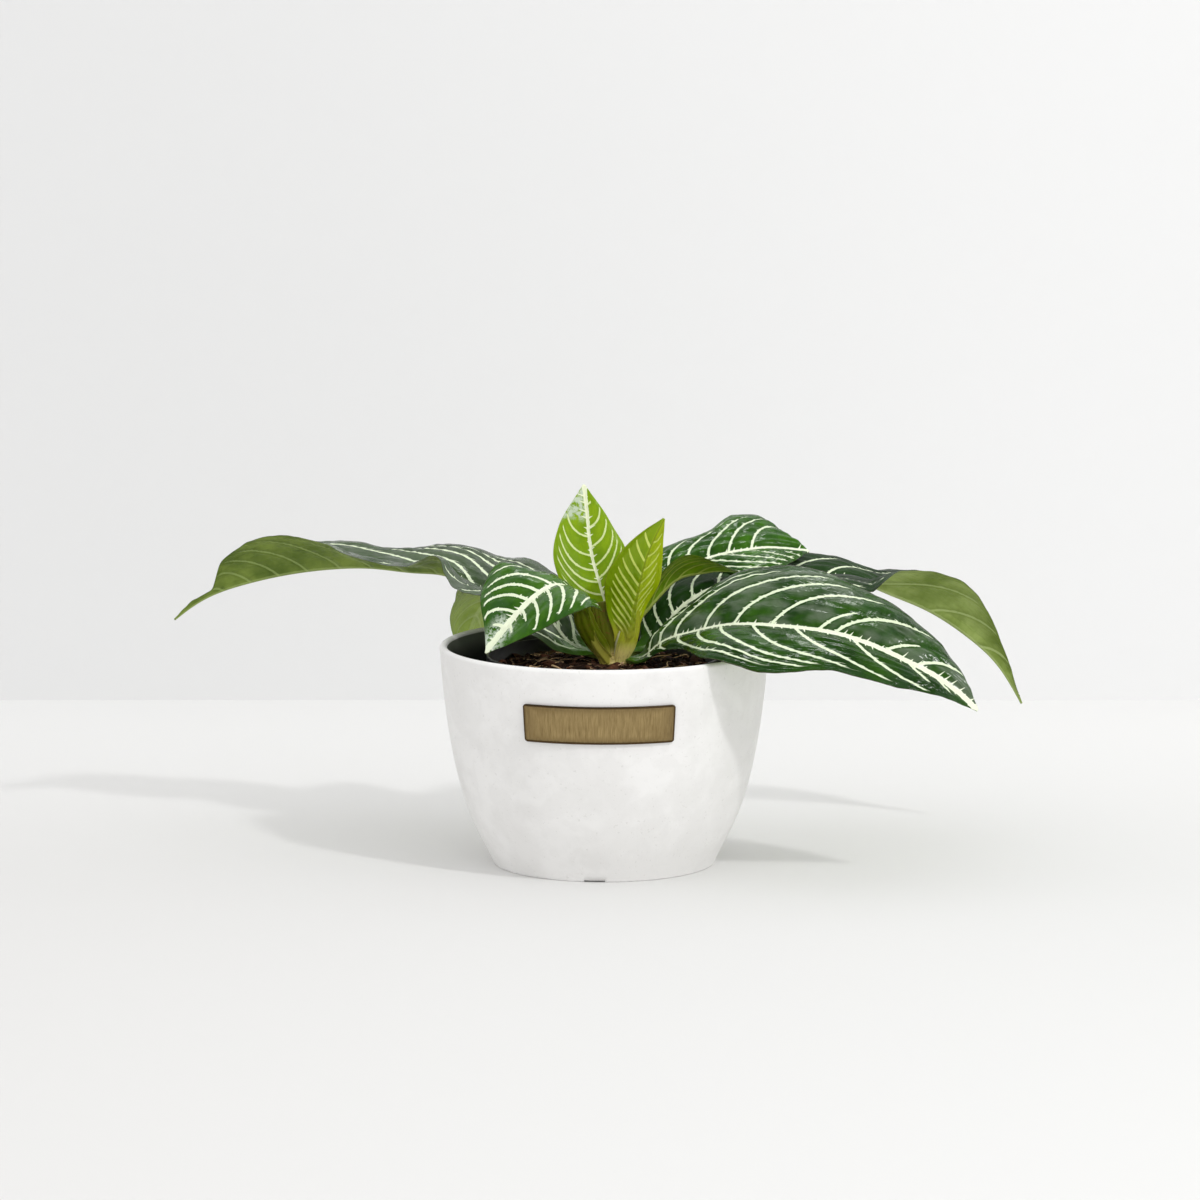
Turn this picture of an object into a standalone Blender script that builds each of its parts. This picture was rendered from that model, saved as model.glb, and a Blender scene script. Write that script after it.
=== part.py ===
"""Potted zebra plant (Aphelandra squarrosa): nine leaves on a short stem in a nursery pot,
which stands inside a bowl-shaped stone-look pot with a bare brass plate.

The origin is the middle of the outer pot's foot. +Z is up, and -Y is the side with the plate.
"""

from dataclasses import dataclass
from math import cos, pi, radians, sin

import bmesh
import bpy
import numpy as np
from mathutils import Matrix

MM = 0.001
GAP = 0.3 * MM

# Outer pot: (radius, height) of its outer wall from the foot up, and its wall.
POT_HEIGHT = 108.0 * MM
POT_WALL = 3.7 * MM
POT_FLOOR = 6.0 * MM
POT_LIP_RADIUS = POT_WALL / 2
POT_OUTLINE = ((54.6, 0.8), (57.7, 7.3), (62.2, 16), (68.3, 31), (73.9, 53), (78.1, 80), (80.5, 106))
POT_SEGMENTS = 72
FOOT_EDGE = 0.8 * MM
FOOT_SLOTS = 3
FOOT_SLOT_WIDTH = 10 * MM
FOOT_SLOT_HEIGHT = 0.8 * MM
FOOT_SLOT_LENGTH = 9 * MM
FIRST_SLOT_ANGLE = radians(-95)

# Plate on the front of the outer pot.
PLATE_ANGLE = radians(-91.9)
PLATE_HEIGHT = 18.5 * MM
PLATE_LENGTH = 74.0 * MM
PLATE_THICKNESS = 1.3 * MM
PLATE_CORNER = 1.6 * MM
PLATE_CENTRE_Z = 81.0 * MM
PLATE_COLUMNS = 24
PLATE_LEVELS = 5

# Nursery pot.
GROW_RIM_RADIUS = 57.6 * MM
GROW_RIM_TOP = 103.0 * MM
GROW_RIM_BAND = 9.0 * MM
GROW_RIM_STEP = 1.4 * MM
GROW_FOOT_RADIUS = 41.0 * MM
GROW_WALL = 1.2 * MM
GROW_SEGMENTS = 48
DRAIN_HOLES = 6
DRAIN_HOLE_RADIUS = 4.0 * MM
DRAIN_RING_RADIUS = 29.0 * MM

# Potting mix: (radius, height) of its surface.
MIX_SURFACE = ((0, 98.0), (14, 98.0), (30, 97.6), (44, 96.6))
MIX_EDGE_Z = 95.6 * MM

# Stem: a short upright column, swollen where the leaf stalks leave it.
STEM_X = 4.5 * MM
STEM_FOOT_Z = 66.0 * MM
STEM_OUTLINE = ((5.2, 96), (5.6, 99), (5.2, 102), (5.0, 105), (5.2, 108), (4.4, 111), (3.4, 116), (1.6, 119))
STEM_SEGMENTS = 20

# Leaves.
BLADE_THICKNESS = 0.9 * MM
BLADE_EDGE = 0.6 * MM
RIB_DEPTH = 2.4 * MM
RIB_DEPTH_AT_TIP = 0.3 * MM
RIB_REACH = 2.6 * MM
ACROSS = (0, 0.12, 0.45, 0.75, 1)


@dataclass(frozen=True)
class Station:
    """One cross-section of a leaf, seen from its foot: millimetres and degrees.

    x, y and z place the midrib. left and right are the widths of the half blades, and
    rise_left and rise_right are how steeply each climbs away from the midrib.
    """

    x: float
    y: float
    z: float
    left: float
    right: float
    rise_left: float
    rise_right: float


@dataclass(frozen=True)
class Leaf:
    """A leaf with its name, the compass angle it grows towards, its colour and its stations."""

    name: str
    heading: float
    rows: int
    colour: str
    stations: tuple


LEAVES = (
    Leaf("leaf_young_back", 100, 14, "young", (
        Station(4, 3, 108, 2, 2, 30, 30),
        Station(2.6, 7, 114, 4.6, 4.2, 30, 30),
        Station(1, 9, 123, 11, 9, 20, 20),
        Station(-2, 11, 135, 18, 15, 12, 12),
        Station(-6, 14, 149, 20, 17, 10, 10),
        Station(-8, 17, 165, 15, 11, 8, 8),
        Station(-10, 19, 184, 0.5, 0.5, 5, 5),
    )),
    Leaf("leaf_young_front", -64, 14, "young", (
        Station(7, -3, 104, 2, 2, 20, 20),
        Station(12, -8, 113, 5, 7, 30, 30),
        Station(14, -10, 125, 10, 13, 25, 25),
        Station(17, -13, 140, 14, 17, 15, 15),
        Station(20, -15, 152, 12, 13, 15, 15),
        Station(25, -15, 164, 6, 6, 15, 15),
        Station(29, -15, 172, 0.5, 0.5, 10, 10),
    )),
    Leaf("leaf_second_left", 216, 17, "olive", (
        Station(2, -3, 101, 3.4, 2.6, 20, 20),
        Station(-6, -12, 112, 7, 6, 20, 20),
        Station(-12, -20, 127, 16, 10, 10, 10),
        Station(-14, -26, 138, 26, 16, 0, 10),
        Station(-23, -33, 142, 28, 22, -15, 12),
        Station(-40, -42, 131, 20, 30, -15, 30),
        Station(-51, -46, 118, 9, 16, -5, 24),
        Station(-57, -48, 111, 0.5, 0.5, 0, 5),
    )),
    Leaf("leaf_second_right", 25, 14, "olive", (
        Station(7, 0.8, 111, 2, 2, 10, 10),
        Station(18, 9, 121, 6, 9, 30, 40),
        Station(29, 15, 132, 9, 15, 30, 50),
        Station(37, 18, 138, 9, 17, 30, 50),
        Station(47, 20, 140, 8, 14, 30, 45),
        Station(57, 22, 141, 6, 8, 20, 25),
        Station(67, 24, 140, 0.5, 0.5, 0, 0),
    )),
    Leaf("leaf_third_front", -20, 20, "dark", (
        Station(7, -1.4, 101.5, 2, 2, 10, -5),
        Station(12, -5, 101.4, 2.6, 2.4, 20, -10),
        Station(18, -10, 102.3, 5, 4, 30, -20),
        Station(26, -17, 109.6, 10, 6, 40, -34),
        Station(42, -30, 118.2, 22, 12, 45, -30),
        Station(60, -43, 123.9, 33, 27, 45, -27),
        Station(85, -55, 125.2, 38, 31, 42, -37),
        Station(115, -65, 122.2, 31, 23, 38, -38),
        Station(144, -72, 111.2, 24, 18, 34, -34),
        Station(164, -76, 100.2, 13, 9, 30, -30),
        Station(178, -78, 88.2, 0.5, 0.5, 30, -30),
    )),
    Leaf("leaf_third_back", 160, 26, "dark", (
        Station(2, 0.5, 102.5, 2, 2, 10, 10),
        Station(-11, 7, 104, 7, 5, 0, 40),
        Station(-18, 11, 107, 13, 12, 0, 45),
        Station(-24, 15, 114, 16, 18, 0, 40),
        Station(-30, 18, 120, 18, 22, 0, 35),
        Station(-43, 25, 127, 23, 27, 5, 30),
        Station(-60, 36, 129, 24, 30, 6, 28),
        Station(-70, 42, 132, 24, 30, 17, 25),
        Station(-77, 46, 135, 24, 30, 30, 22),
        Station(-93, 52, 136, 22, 30, 13, 18),
        Station(-115, 60, 137, 24, 28, 19, 12),
        Station(-132, 66, 136, 25, 28, 36, 20),
        Station(-158, 72, 132, 24, 24, 49, 28),
        Station(-184, 77, 125, 17, 12, 52, 28),
        Station(-197, 79, 120, 4, 4, 40, 20),
        Station(-207, 81, 114, 3, 3, 40, 20),
        Station(-216, 82, 107, 0.5, 0.5, 40, 20),
    )),
    Leaf("leaf_fourth_back", 20, 18, "dark", (
        Station(5.4, 3.2, 105.4, 1.6, 1.6, 10, 10),
        Station(20, 30, 124, 6.5, 5, 30, -10),
        Station(34, 41, 135, 16, 8, 44, -16),
        Station(54, 46, 144, 20, 14, 26, -22),
        Station(69, 47, 147, 30, 22, 27, -22),
        Station(81, 49, 148, 29, 22, 27, -22),
        Station(93, 51, 147, 13, 12, 22, -22),
        Station(102, 52, 146, 0.5, 0.5, 20, -20),
    )),
    Leaf("leaf_fifth_right", 16, 24, "dark", (
        Station(7, 0.8, 103.6, 1.7, 2, 10, 5),
        Station(12, 3, 103.9, 2.2, 2.4, 10, 10),
        Station(19, 6, 104.5, 5.5, 4, 30, -10),
        Station(26, 9, 108, 13, 8, 46, -20),
        Station(33, 12, 118, 15, 10, 42, -20),
        Station(45, 18, 128, 15, 20, 22, -30),
        Station(57, 24, 133, 15, 24, 12, -20),
        Station(80, 34, 136, 25, 28, 8, -8),
        Station(109, 43, 135, 30, 30, 8, -5),
        Station(127, 48, 132, 30, 28, 12, -5),
        Station(138, 50, 127, 29, 24, 16, 32),
        Station(160, 54, 117, 28, 20, 38, 46),
        Station(181, 57, 103, 20, 13, 50, 50),
        Station(195, 59, 90, 7, 7, 25, 50),
        Station(209, 60, 68, 0.5, 0.5, 0, 20),
    )),
    Leaf("leaf_fifth_left", 135, 16, "dark", (
        Station(3.5, 3, 101.5, 2, 2, 10, 10),
        Station(0, 20, 106, 5, 5, 10, 10),
        Station(-12, 40, 116, 12, 14, 0, 0),
        Station(-30, 56, 125, 22, 26, 0, 0),
        Station(-47, 68, 125, 27, 28, 0, 0),
        Station(-59, 77, 118, 26, 27, 0, 0),
        Station(-67, 84, 104, 20, 22, 0, 0),
        Station(-71, 88, 82, 0.5, 0.5, 0, 0),
    )),
)

# Colour, roughness and metallic value of each material.
FINISHES = {
    "stone": ((0.77, 0.76, 0.74), 0.75, 0.0),
    "brass": ((0.33, 0.24, 0.10), 0.38, 1.0),
    "plastic": ((0.02, 0.022, 0.022), 0.5, 0.0),
    "mix": ((0.045, 0.022, 0.012), 0.95, 0.0),
    "stem": ((0.36, 0.37, 0.06), 0.5, 0.0),
    "young": ((0.20, 0.33, 0.015), 0.4, 0.0),
    "olive": ((0.10, 0.16, 0.02), 0.4, 0.0),
    "dark": ((0.03, 0.09, 0.02), 0.3, 0.0),
}


def clear_scene():
    """Remove every object of the scene."""
    for obj in list(bpy.data.objects):
        bpy.data.objects.remove(obj, do_unlink=True)


def material(name):
    """Return the Principled material of a finish, made on first use."""
    found = bpy.data.materials.get(name)
    if found:
        return found
    colour, roughness, metallic = FINISHES[name]
    made = bpy.data.materials.new(name)
    made.use_nodes = True
    shader = made.node_tree.nodes["Principled BSDF"]
    shader.inputs["Base Color"].default_value = (*colour, 1)
    shader.inputs["Roughness"].default_value = roughness
    shader.inputs["Metallic"].default_value = metallic
    return made


def add_object(name, bm, finish):
    """Turn a bmesh into a smooth-shaded object with its material."""
    bmesh.ops.recalc_face_normals(bm, faces=bm.faces)
    mesh = bpy.data.meshes.new(name)
    bm.to_mesh(mesh)
    bm.free()
    mesh.shade_smooth()
    mesh.set_sharp_from_angle(angle=radians(40))
    obj = bpy.data.objects.new(name, mesh)
    bpy.context.scene.collection.objects.link(obj)
    if finish:
        mesh.materials.append(material(finish))
    return obj


def turned(name, profile, segments, finish):
    """Spin a closed (radius, height) profile, in metres, around the Z axis."""
    bm = bmesh.new()
    ring = [bm.verts.new((radius, 0, height)) for radius, height in profile]
    edges = [bm.edges.new(pair) for pair in zip(ring, ring[1:])]
    if profile[0][0] > 0:
        edges.append(bm.edges.new((ring[-1], ring[0])))
    bmesh.ops.spin(
        bm, geom=ring + edges, axis=(0, 0, 1), cent=(0, 0, 0), angle=2 * pi, steps=segments, use_merge=True
    )
    bmesh.ops.remove_doubles(bm, verts=bm.verts, dist=0.01 * MM)
    return add_object(name, bm, finish)


def outer_radius(height):
    """Outer radius of the outer pot at a height, in metres."""
    radii, heights = zip(*POT_OUTLINE)
    return float(np.interp(height / MM, heights, radii)) * MM


def arc(centre, radius, start, end, steps):
    """Points of a circular arc in the (radius, height) plane."""
    angles = [start + (end - start) * step / steps for step in range(steps + 1)]
    return [(centre[0] + radius * cos(angle), centre[1] + radius * sin(angle)) for angle in angles]


def cut(obj, cutter):
    """Cut one object from another with a Boolean that stays on it, and hide the cutter."""
    cutter.hide_render = True
    cutter.display_type = "WIRE"
    difference = obj.modifiers.new(cutter.name, "BOOLEAN")
    difference.operation = "DIFFERENCE"
    difference.object = cutter


def cutter_cylinder(name, radius, depth, centre, segments):
    """A closed upright cylinder used to cut."""
    bm = bmesh.new()
    bmesh.ops.create_cone(
        bm, cap_ends=True, segments=segments, radius1=radius, radius2=radius, depth=depth
    )
    bmesh.ops.translate(bm, verts=bm.verts, vec=centre)
    return add_object(name, bm, None)


def build_cache_pot():
    """The outer pot: a bowl with a round lip, a flat foot and shallow slots under its edge."""
    outside = [(radius * MM, height * MM) for radius, height in POT_OUTLINE]
    inside = [(radius - POT_WALL, height) for radius, height in outside if height > POT_FLOOR * 2]
    lip_centre = (outside[-1][0] - POT_LIP_RADIUS, POT_HEIGHT - POT_LIP_RADIUS)
    lip = arc(lip_centre, POT_LIP_RADIUS, 0, pi, 6)
    inner_foot = (inside[0][0] - 6 * MM, POT_FLOOR)
    profile = [(0, 0), (outside[0][0] - FOOT_EDGE, 0)]
    profile += outside[:-1] + lip + inside[-2::-1] + [inner_foot, (0, POT_FLOOR)]
    pot = turned("cache_pot", profile, POT_SEGMENTS, "stone")
    bm = bmesh.new()
    for slot in range(FOOT_SLOTS):
        angle = FIRST_SLOT_ANGLE + slot * 2 * pi / FOOT_SLOTS
        box = bmesh.ops.create_cube(bm, size=1)["verts"]
        bmesh.ops.scale(bm, verts=box, vec=(FOOT_SLOT_LENGTH * 2, FOOT_SLOT_WIDTH, FOOT_SLOT_HEIGHT * 2))
        bmesh.ops.translate(bm, verts=box, vec=(outside[0][0], 0, 0))
        bmesh.ops.rotate(bm, verts=box, cent=(0, 0, 0), matrix=Matrix.Rotation(angle, 3, "Z"))
    cut(pot, add_object("foot_slot_cutter", bm, None))


def build_plate():
    """The curved plate: rings along its length that follow the pot's wall, with rounded corners."""
    half = PLATE_LENGTH / 2
    insets = [PLATE_CORNER * (1 - cos(angle)) for angle in np.linspace(0.25, pi / 2, 4)][:-1]
    middle = np.linspace(-half + PLATE_CORNER, half - PLATE_CORNER, PLATE_COLUMNS)
    columns = [-half + inset for inset in insets] + list(middle) + [half - inset for inset in insets[::-1]]
    levels = list(np.linspace(-1, 1, PLATE_LEVELS))
    around = [(level, GAP) for level in levels] + [(level, GAP + PLATE_THICKNESS) for level in levels[::-1]]
    bm = bmesh.new()
    rings = []
    for along in columns:
        into_corner = max(0, abs(along) - (half - PLATE_CORNER))
        rise = PLATE_HEIGHT / 2 - PLATE_CORNER + (PLATE_CORNER**2 - into_corner**2) ** 0.5
        angle = PLATE_ANGLE + along / outer_radius(PLATE_CENTRE_Z)
        ring = []
        for level, depth in around:
            height = PLATE_CENTRE_Z + level * rise
            radius = outer_radius(height) + depth
            ring.append(bm.verts.new((radius * cos(angle), radius * sin(angle), height)))
        rings.append(ring)
    for ring, following in zip(rings, rings[1:]):
        for first in range(len(around)):
            second = (first + 1) % len(around)
            bm.faces.new((ring[first], following[first], following[second], ring[second]))
    bm.faces.new(rings[0])
    bm.faces.new(rings[-1][::-1])
    add_object("pot_plate", bm, "brass")


def grow_radius(height):
    """Outer radius of the nursery pot's wall at a height, in metres."""
    foot = POT_FLOOR + GAP
    top = GROW_RIM_TOP - GROW_RIM_BAND
    share = (height - foot) / (top - foot)
    return GROW_FOOT_RADIUS + share * (GROW_RIM_RADIUS - GROW_RIM_STEP - GROW_FOOT_RADIUS)


def build_grow_pot():
    """The thin nursery pot with its stepped rim band and its drainage holes."""
    foot = POT_FLOOR + GAP
    step = GROW_RIM_TOP - GROW_RIM_BAND
    profile = [
        (0, foot),
        (GROW_FOOT_RADIUS, foot),
        (grow_radius(step), step),
        (GROW_RIM_RADIUS, step + 1 * MM),
        (GROW_RIM_RADIUS, GROW_RIM_TOP),
        (GROW_RIM_RADIUS - GROW_WALL, GROW_RIM_TOP),
        (GROW_RIM_RADIUS - GROW_WALL - 0.2 * MM, step + 2 * MM),
        (grow_radius(step) - GROW_WALL, step),
        (GROW_FOOT_RADIUS - GROW_WALL, foot + GROW_WALL),
        (0, foot + GROW_WALL),
    ]
    pot = turned("grow_pot", profile, GROW_SEGMENTS, "plastic")
    bm = bmesh.new()
    for hole in range(DRAIN_HOLES):
        angle = hole * 2 * pi / DRAIN_HOLES
        made = bmesh.ops.create_cone(
            bm, cap_ends=True, segments=10, radius1=DRAIN_HOLE_RADIUS, radius2=DRAIN_HOLE_RADIUS, depth=6 * MM
        )
        where = (DRAIN_RING_RADIUS * cos(angle), DRAIN_RING_RADIUS * sin(angle), foot)
        bmesh.ops.translate(bm, verts=made["verts"], vec=where)
    cut(pot, add_object("drain_hole_cutter", bm, None))


def build_potting_mix():
    """The potting mix: it fills the nursery pot and has a socket for the stem."""
    foot = POT_FLOOR + GAP + GROW_WALL + GAP
    edge = grow_radius(GROW_RIM_TOP - GROW_RIM_BAND) - GROW_WALL - GAP
    surface = [(radius * MM, height * MM) for radius, height in MIX_SURFACE]
    step = GROW_RIM_TOP - GROW_RIM_BAND
    profile = [(0, foot), (GROW_FOOT_RADIUS - GROW_WALL - GAP, foot), (edge, step), (edge, MIX_EDGE_Z)]
    mix = turned("potting_mix", profile + surface[::-1], GROW_SEGMENTS, "mix")
    radius = STEM_OUTLINE[1][0] * MM + GAP
    depth = 2 * (surface[0][1] + 4 * MM - STEM_FOOT_Z)
    socket = cutter_cylinder(
        "stem_socket_cutter", radius, depth, (STEM_X, 0, STEM_FOOT_Z - GAP + depth / 2), STEM_SEGMENTS
    )
    cut(mix, socket)


def stem_shape(name, margin, finish):
    """The stem's turned shape, grown by a margin."""
    profile = [(0, STEM_FOOT_Z - margin), (STEM_OUTLINE[0][0] * MM + margin, STEM_FOOT_Z - margin)]
    profile += [(radius * MM + margin, height * MM) for radius, height in STEM_OUTLINE]
    profile.append((0, (STEM_OUTLINE[-1][1] + 0.6) * MM + margin))
    stem = turned(name, profile, STEM_SEGMENTS, finish)
    stem.location.x = STEM_X
    return stem


def natural_spline(knots, values, where):
    """Read a natural cubic spline through the rows of values at the given places."""
    spans = np.diff(knots)
    count = len(knots)
    system = np.zeros((count, count))
    bend_load = np.zeros_like(values)
    system[0, 0] = 1
    system[-1, -1] = 1
    for row in range(1, count - 1):
        system[row, row - 1 : row + 2] = (spans[row - 1], 2 * (spans[row - 1] + spans[row]), spans[row])
        slope_after = (values[row + 1] - values[row]) / spans[row]
        slope_before = (values[row] - values[row - 1]) / spans[row - 1]
        bend_load[row] = 6 * (slope_after - slope_before)
    bends = np.linalg.solve(system, bend_load)
    left = np.clip(np.searchsorted(knots, where) - 1, 0, count - 2)
    span = spans[left][:, None]
    before = (knots[left + 1] - where)[:, None] / span
    after = 1 - before
    straight = before * values[left] + after * values[left + 1]
    bow = (before**3 - before) * bends[left] + (after**3 - after) * bends[left + 1]
    return straight + bow * span**2 / 6


def level_spline(knots, values, where):
    """Read a cubic curve through the values that never overshoots them."""
    spans = np.diff(knots)
    slopes = np.diff(values) / spans
    tangents = np.zeros(len(knots))
    for row in range(1, len(knots) - 1):
        if slopes[row - 1] * slopes[row] > 0:
            near = 2 * spans[row] + spans[row - 1]
            far = spans[row] + 2 * spans[row - 1]
            tangents[row] = (near + far) / (near / slopes[row - 1] + far / slopes[row])
    tangents[0] = slopes[0]
    tangents[-1] = slopes[-1]
    left = np.clip(np.searchsorted(knots, where) - 1, 0, len(knots) - 2)
    part = (where - knots[left]) / spans[left]
    start = (1 + 2 * part) * (1 - part) ** 2 * values[left]
    start += part * (1 - part) ** 2 * spans[left] * tangents[left]
    end = part**2 * (3 - 2 * part) * values[left + 1]
    end += part**2 * (part - 1) * spans[left] * tangents[left + 1]
    return start + end


def leaf_surface(leaf):
    """Return a leaf's middle surface: its grid of points, their reach from the midrib, each row's share."""
    table = np.array([[row.x, row.y, row.z, row.left, row.right] for row in leaf.stations]) * MM
    rises = np.radians([[row.rise_left, row.rise_right] for row in leaf.stations])
    steps = np.linalg.norm(np.diff(table[:, :3], axis=0), axis=1)
    knots = np.concatenate([[0], np.cumsum(steps)])
    where = np.linspace(0, knots[-1], leaf.rows + 1)
    midrib = natural_spline(knots, table[:, :3], where)
    tangent = np.gradient(midrib, where, axis=0)
    tangent /= np.linalg.norm(tangent, axis=1)[:, None]
    heading = radians(leaf.heading)
    up = np.cross(tangent, (-sin(heading), cos(heading), 0))
    up /= np.linalg.norm(up, axis=1)[:, None]
    side = np.cross(up, tangent)
    across = np.array(ACROSS)
    halves = []
    for sign, column in ((1, 0), (-1, 1)):
        width = level_spline(knots, table[:, 3 + column], where)
        rise = level_spline(knots, rises[:, column], where)
        direction = sign * np.cos(rise)[:, None] * side + np.sin(rise)[:, None] * up
        reach = width[:, None] * across[None, :]
        halves.append((midrib[:, None, :] + reach[:, :, None] * direction[:, None, :], reach))
    (left, left_reach), (right, right_reach) = halves
    grid = np.concatenate([left[:, ::-1], right[:, 1:]], axis=1)
    reach = np.concatenate([left_reach[:, ::-1], right_reach[:, 1:]], axis=1)
    return grid, reach, where / where[-1]


def build_leaf(leaf, stem_room):
    """One leaf: a thin closed shell with a rib below its midrib, whose foot is cut to clasp the stem."""
    grid, reach, share = leaf_surface(leaf)
    along = np.gradient(grid, axis=0)
    over = np.gradient(grid, axis=1)
    normal = np.cross(over, along)
    normal /= np.linalg.norm(normal, axis=2)[:, :, None]
    depth = RIB_DEPTH + (RIB_DEPTH_AT_TIP - RIB_DEPTH) * share**0.5
    rib = depth[:, None] * np.exp(-((reach / RIB_REACH) ** 2))
    edge = np.abs(np.linspace(-1, 1, grid.shape[1])) ** 2
    blade = BLADE_THICKNESS + (BLADE_EDGE - BLADE_THICKNESS) * edge
    top = grid + normal * (blade / 2)[None, :, None]
    bottom = grid - normal * (blade / 2 + rib)[:, :, None]
    bm = bmesh.new()
    rows, columns = reach.shape
    upper = [[bm.verts.new(top[row, column]) for column in range(columns)] for row in range(rows)]
    lower = [[bm.verts.new(bottom[row, column]) for column in range(columns)] for row in range(rows)]
    for row in range(rows - 1):
        for column in range(columns - 1):
            for sheet in (upper, lower):
                first, second = sheet[row], sheet[row + 1]
                bm.faces.new((first[column], first[column + 1], second[column + 1], second[column]))
        for margin in (0, -1):
            sheets = (upper[row][margin], upper[row + 1][margin], lower[row + 1][margin], lower[row][margin])
            bm.faces.new(sheets)
    for end in (0, -1):
        for column in range(columns - 1):
            sheets = (upper[end][column], upper[end][column + 1], lower[end][column + 1], lower[end][column])
            bm.faces.new(sheets)
    cut(add_object(leaf.name, bm, leaf.colour), stem_room)


def main():
    """Build the pots, the plate, the potting mix, the stem and the leaves."""
    clear_scene()
    build_cache_pot()
    build_plate()
    build_grow_pot()
    build_potting_mix()
    stem_shape("stem", 0, "stem")
    stem_room = stem_shape("stem_room_cutter", GAP, None)
    for leaf in LEAVES:
        build_leaf(leaf, stem_room)


main()
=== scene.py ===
"""Potted zebra plant: the finishes and fine surfaces of the plant, its pots, its potting mix and its plate.

Lengths are in metres. Tables of stations, outlines and heights are in millimetres, and become metres
where they are read.
"""

import logging
from dataclasses import dataclass, replace
from enum import Enum
from math import cos, pi, radians, sin
from typing import Any, Callable, ClassVar, Optional, Sequence, Union

import bmesh
import bpy
import numpy as np
from bpy.types import Material, Mesh, Node, NodeSocket, NodeTree, Object
from mathutils import Matrix, Vector


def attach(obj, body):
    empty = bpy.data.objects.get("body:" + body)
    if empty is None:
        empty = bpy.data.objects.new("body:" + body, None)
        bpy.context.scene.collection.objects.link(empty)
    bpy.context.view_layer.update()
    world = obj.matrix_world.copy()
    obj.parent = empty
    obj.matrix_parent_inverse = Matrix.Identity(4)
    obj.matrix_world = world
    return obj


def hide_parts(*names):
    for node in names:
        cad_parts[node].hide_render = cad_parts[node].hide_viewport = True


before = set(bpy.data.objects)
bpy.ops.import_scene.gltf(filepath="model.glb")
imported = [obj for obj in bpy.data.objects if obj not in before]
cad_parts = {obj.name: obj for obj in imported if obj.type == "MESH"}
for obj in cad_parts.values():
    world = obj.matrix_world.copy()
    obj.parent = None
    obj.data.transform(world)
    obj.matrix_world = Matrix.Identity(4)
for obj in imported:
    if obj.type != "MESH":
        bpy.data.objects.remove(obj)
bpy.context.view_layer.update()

LOG = logging.getLogger("zebra_plant")
MM = 0.001
BODY = "root"

Colour = tuple[float, float, float]
Point = tuple[float, float, float]
Outline = tuple[tuple[float, float], ...]


# ---- Node trees ----


class Side(Enum):
    """The two halves of a leaf, seen from its foot."""

    LEFT = 1
    RIGHT = -1


@dataclass(frozen=True)
class Signal:
    """One node's output, which Python's operators can work on."""

    graph: "Graph"
    socket: NodeSocket

    def __add__(self, other: "Value") -> "Signal":
        """Return the sum with a value on the right."""
        return self.graph.math("ADD", self, other)

    def __radd__(self, other: "Value") -> "Signal":
        """Return the sum with a value on the left."""
        return self.graph.math("ADD", other, self)

    def __sub__(self, other: "Value") -> "Signal":
        """Return this less another value."""
        return self.graph.math("SUBTRACT", self, other)

    def __rsub__(self, other: "Value") -> "Signal":
        """Return another value less this."""
        return self.graph.math("SUBTRACT", other, self)

    def __mul__(self, other: "Value") -> "Signal":
        """Return the product with another value."""
        return self.graph.math("MULTIPLY", self, other)

    def __truediv__(self, other: "Value") -> "Signal":
        """Return this divided by another value."""
        return self.graph.math("DIVIDE", self, other)

    def __pow__(self, other: "Value") -> "Signal":
        """Return this raised to a power."""
        return self.graph.math("POWER", self, other)

    def __abs__(self) -> "Signal":
        """Return this without its sign."""
        return self.graph.math("ABSOLUTE", self)


Value = Union[float, int, Sequence[float], Signal]
Inputs = dict[Union[str, int], Value]


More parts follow.
